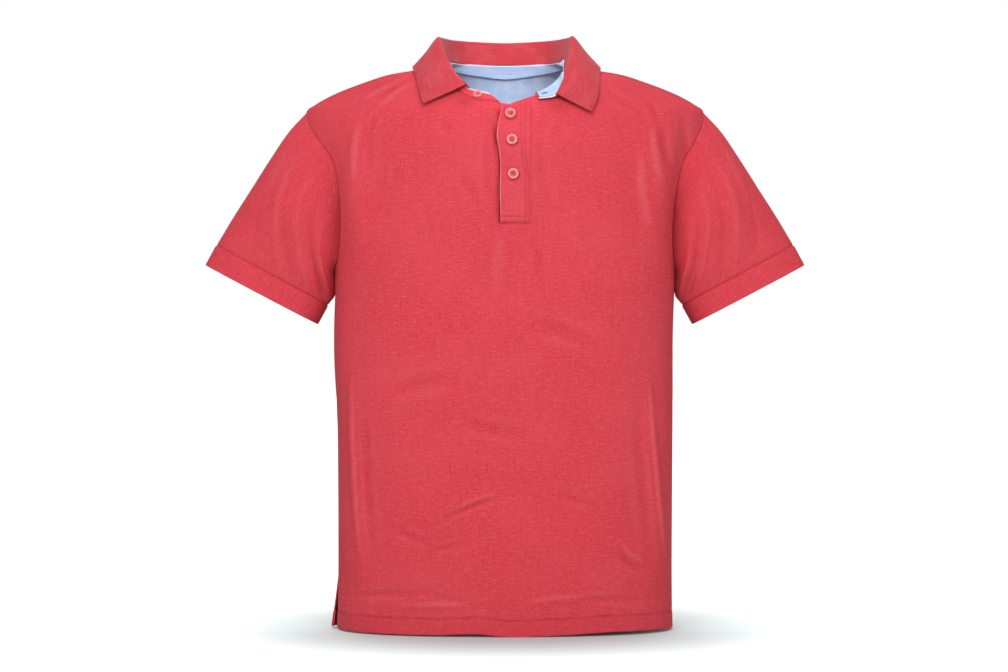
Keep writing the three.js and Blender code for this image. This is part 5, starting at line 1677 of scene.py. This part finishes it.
slit_tree.links.new(slit_tone, slit_shader.inputs['Base Color'])
slit_shade_sheet = sheet_object('buttonhole_slit_shade', slit_grid, slit_grid[..., :2], slit_paint)
thicken(slit_shade_sheet, 0.2, edge=0.05)
declare(slit_shade_sheet, 'blue_chambray')
overcast = []
for way in (-1, 1):
    for share in np.linspace(-0.5, 0.5, 20):
        near = (hole_middle + hole_up * 0.2 + hole_along * hole_length * share
                + hole_side * way * 0.3)
        far = near + hole_side * way * 3.1
        overcast.append((np.stack((near, far)), np.stack((hole_up, hole_up))))
stitch_set('buttonhole_stitches', overcast, blue_thread, 'blue_chambray')

# Buttons: cast resin with a raised polished rim and a dished middle, four holes and two
# parallel bars of thread. Three fasten the placket, and a smaller one sits on the open neckband.
button_diameter = 14
collar_button_diameter = 11.5
button_height = 2.6
button_dish = 1.1
button_hole_out = 1.35
button_hole_radius = 0.72


def resin_material(name, base, pale, roughness):
    material, tree, shader = new_material(name, roughness)
    shader.inputs['Specular IOR Level'].default_value = 0.35
    shader.inputs['Coat Weight'].default_value = 0.1
    shader.inputs['Coat Roughness'].default_value = 0.25
    place_of = tree.nodes.new('ShaderNodeTexCoord')
    cloud = stretched_noise(tree, place_of.outputs['Object'], 260, 260, 3)
    tone = colour_mix(tree, spread(tree, cloud, 0.35, 0.7), base, pale)
    tree.links.new(tone, shader.inputs['Base Color'])
    return material


# The dish is coloured darker than the rim: partly the resin's own darker tone, partly painted shade
# in the hollow.
resin_rim = resin_material('button_rim', (0.74, 0.17, 0.19, 1), (0.82, 0.25, 0.27, 1), 0.35)
resin_dish = resin_material('button_dish', (0.56, 0.08, 0.09, 1), (0.66, 0.13, 0.14, 1), 0.45)


def lathe_button(name, diameter, seat, normal, node):
    """A cylinder whose top is inset and sunk into a rim and a dish, drilled with four holes."""
    radius = diameter / 2000
    height = button_height / 1000
    bpy.ops.object.select_all(action='DESELECT')
    bpy.ops.mesh.primitive_cylinder_add(
        vertices=48, radius=radius, depth=height, location=(0, 0, height / 2))
    made = bpy.context.object
    made.name = name
    bpy.ops.object.transform_apply(location=True)
    bpy.ops.object.mode_set(mode='EDIT')
    bpy.ops.mesh.select_mode(type='FACE')
    bpy.ops.mesh.select_all(action='DESELECT')
    bpy.ops.object.mode_set(mode='OBJECT')
    top = max(made.data.polygons, key=lambda face: face.center.z)
    top.select = True
    bpy.ops.object.mode_set(mode='EDIT')
    for inset, sink in ((0.07, 0.0), (0.2, 0.0), (0.1, -0.25), (0.1, -0.75)):
        bpy.ops.mesh.inset(thickness=inset * radius)
        bpy.ops.transform.translate(value=(0, 0, sink * button_dish / 1000))
    bpy.ops.object.mode_set(mode='OBJECT')
    round_edges(made, 0.45, 3, 35)
    bpy.ops.object.modifier_apply(modifier='edges')
    bpy.ops.object.shade_smooth()
    hole_out = button_hole_out / 1000
    drills = []
    for across, along in ((-1, -1), (-1, 1), (1, -1), (1, 1)):
        bpy.ops.mesh.primitive_cylinder_add(
            vertices=14, radius=button_hole_radius / 1000, depth=3 * height,
            location=(across * hole_out, along * hole_out, 0))
        drills.append(bpy.context.object)
    bpy.ops.object.select_all(action='DESELECT')
    for drill in drills:
        drill.select_set(True)
    bpy.context.view_layer.objects.active = drills[0]
    bpy.ops.object.join()
    cut = made.modifiers.new('holes', 'BOOLEAN')
    cut.object = drills[0]
    cut.solver = 'EXACT'
    select_only(made)
    bpy.ops.object.modifier_apply(modifier='holes')
    bpy.data.objects.remove(drills[0], do_unlink=True)
    made.data.materials.clear()
    made.data.materials.append(resin_rim)
    made.data.materials.append(resin_dish)
    for face in made.data.polygons:
        inner = math.hypot(face.center.x, face.center.y) < 0.6 * radius
        face.material_index = 1 if inner and face.center.z > 0.2 * height else 0
    turn = Vector((0, 0, 1)).rotation_difference(Vector(normal)).to_matrix().to_4x4()
    made.data.transform(Matrix.Translation(Vector(seat) / 1000) @ turn)
    declare(made, 'button_resin', node)
    floor_up = button_height - button_dish + 0.2
    frame_of = np.array(turn.to_3x3())
    runs = []
    for offset in (-button_hole_out, button_hole_out):
        line = np.array([(-1.7, offset, floor_up), (1.7, offset, floor_up)])
        runs.append((line @ frame_of.T + np.asarray(seat), np.tile(normal, (2, 1))))
    return runs


button_lift = 2 * seam_gap + placket_thickness
button_threads = []
for node, (button_x, button_z) in placket_buttons.items():
    pattern = place('front', button_x, button_z)[None]
    normal = normal_on_body(pattern)[0]
    seat = on_body(pattern)[0] + normal * button_lift
    button_threads += lathe_button('shirt_' + node, button_diameter, seat, normal, node)
collar_button_at = -0.935
column = int(np.argmin(np.abs(band_ats - collar_button_at)))
normal = band_normals[6, column]
seat = (band_low[column] + band_high[column]) / 2 + normal * (0.4 + seam_gap)
button_threads += lathe_button('shirt_button_collar', collar_button_diameter, seat, normal,
                               'button_collar')
stitch_set('button_threads', button_threads, red_thread, 'red_jersey')
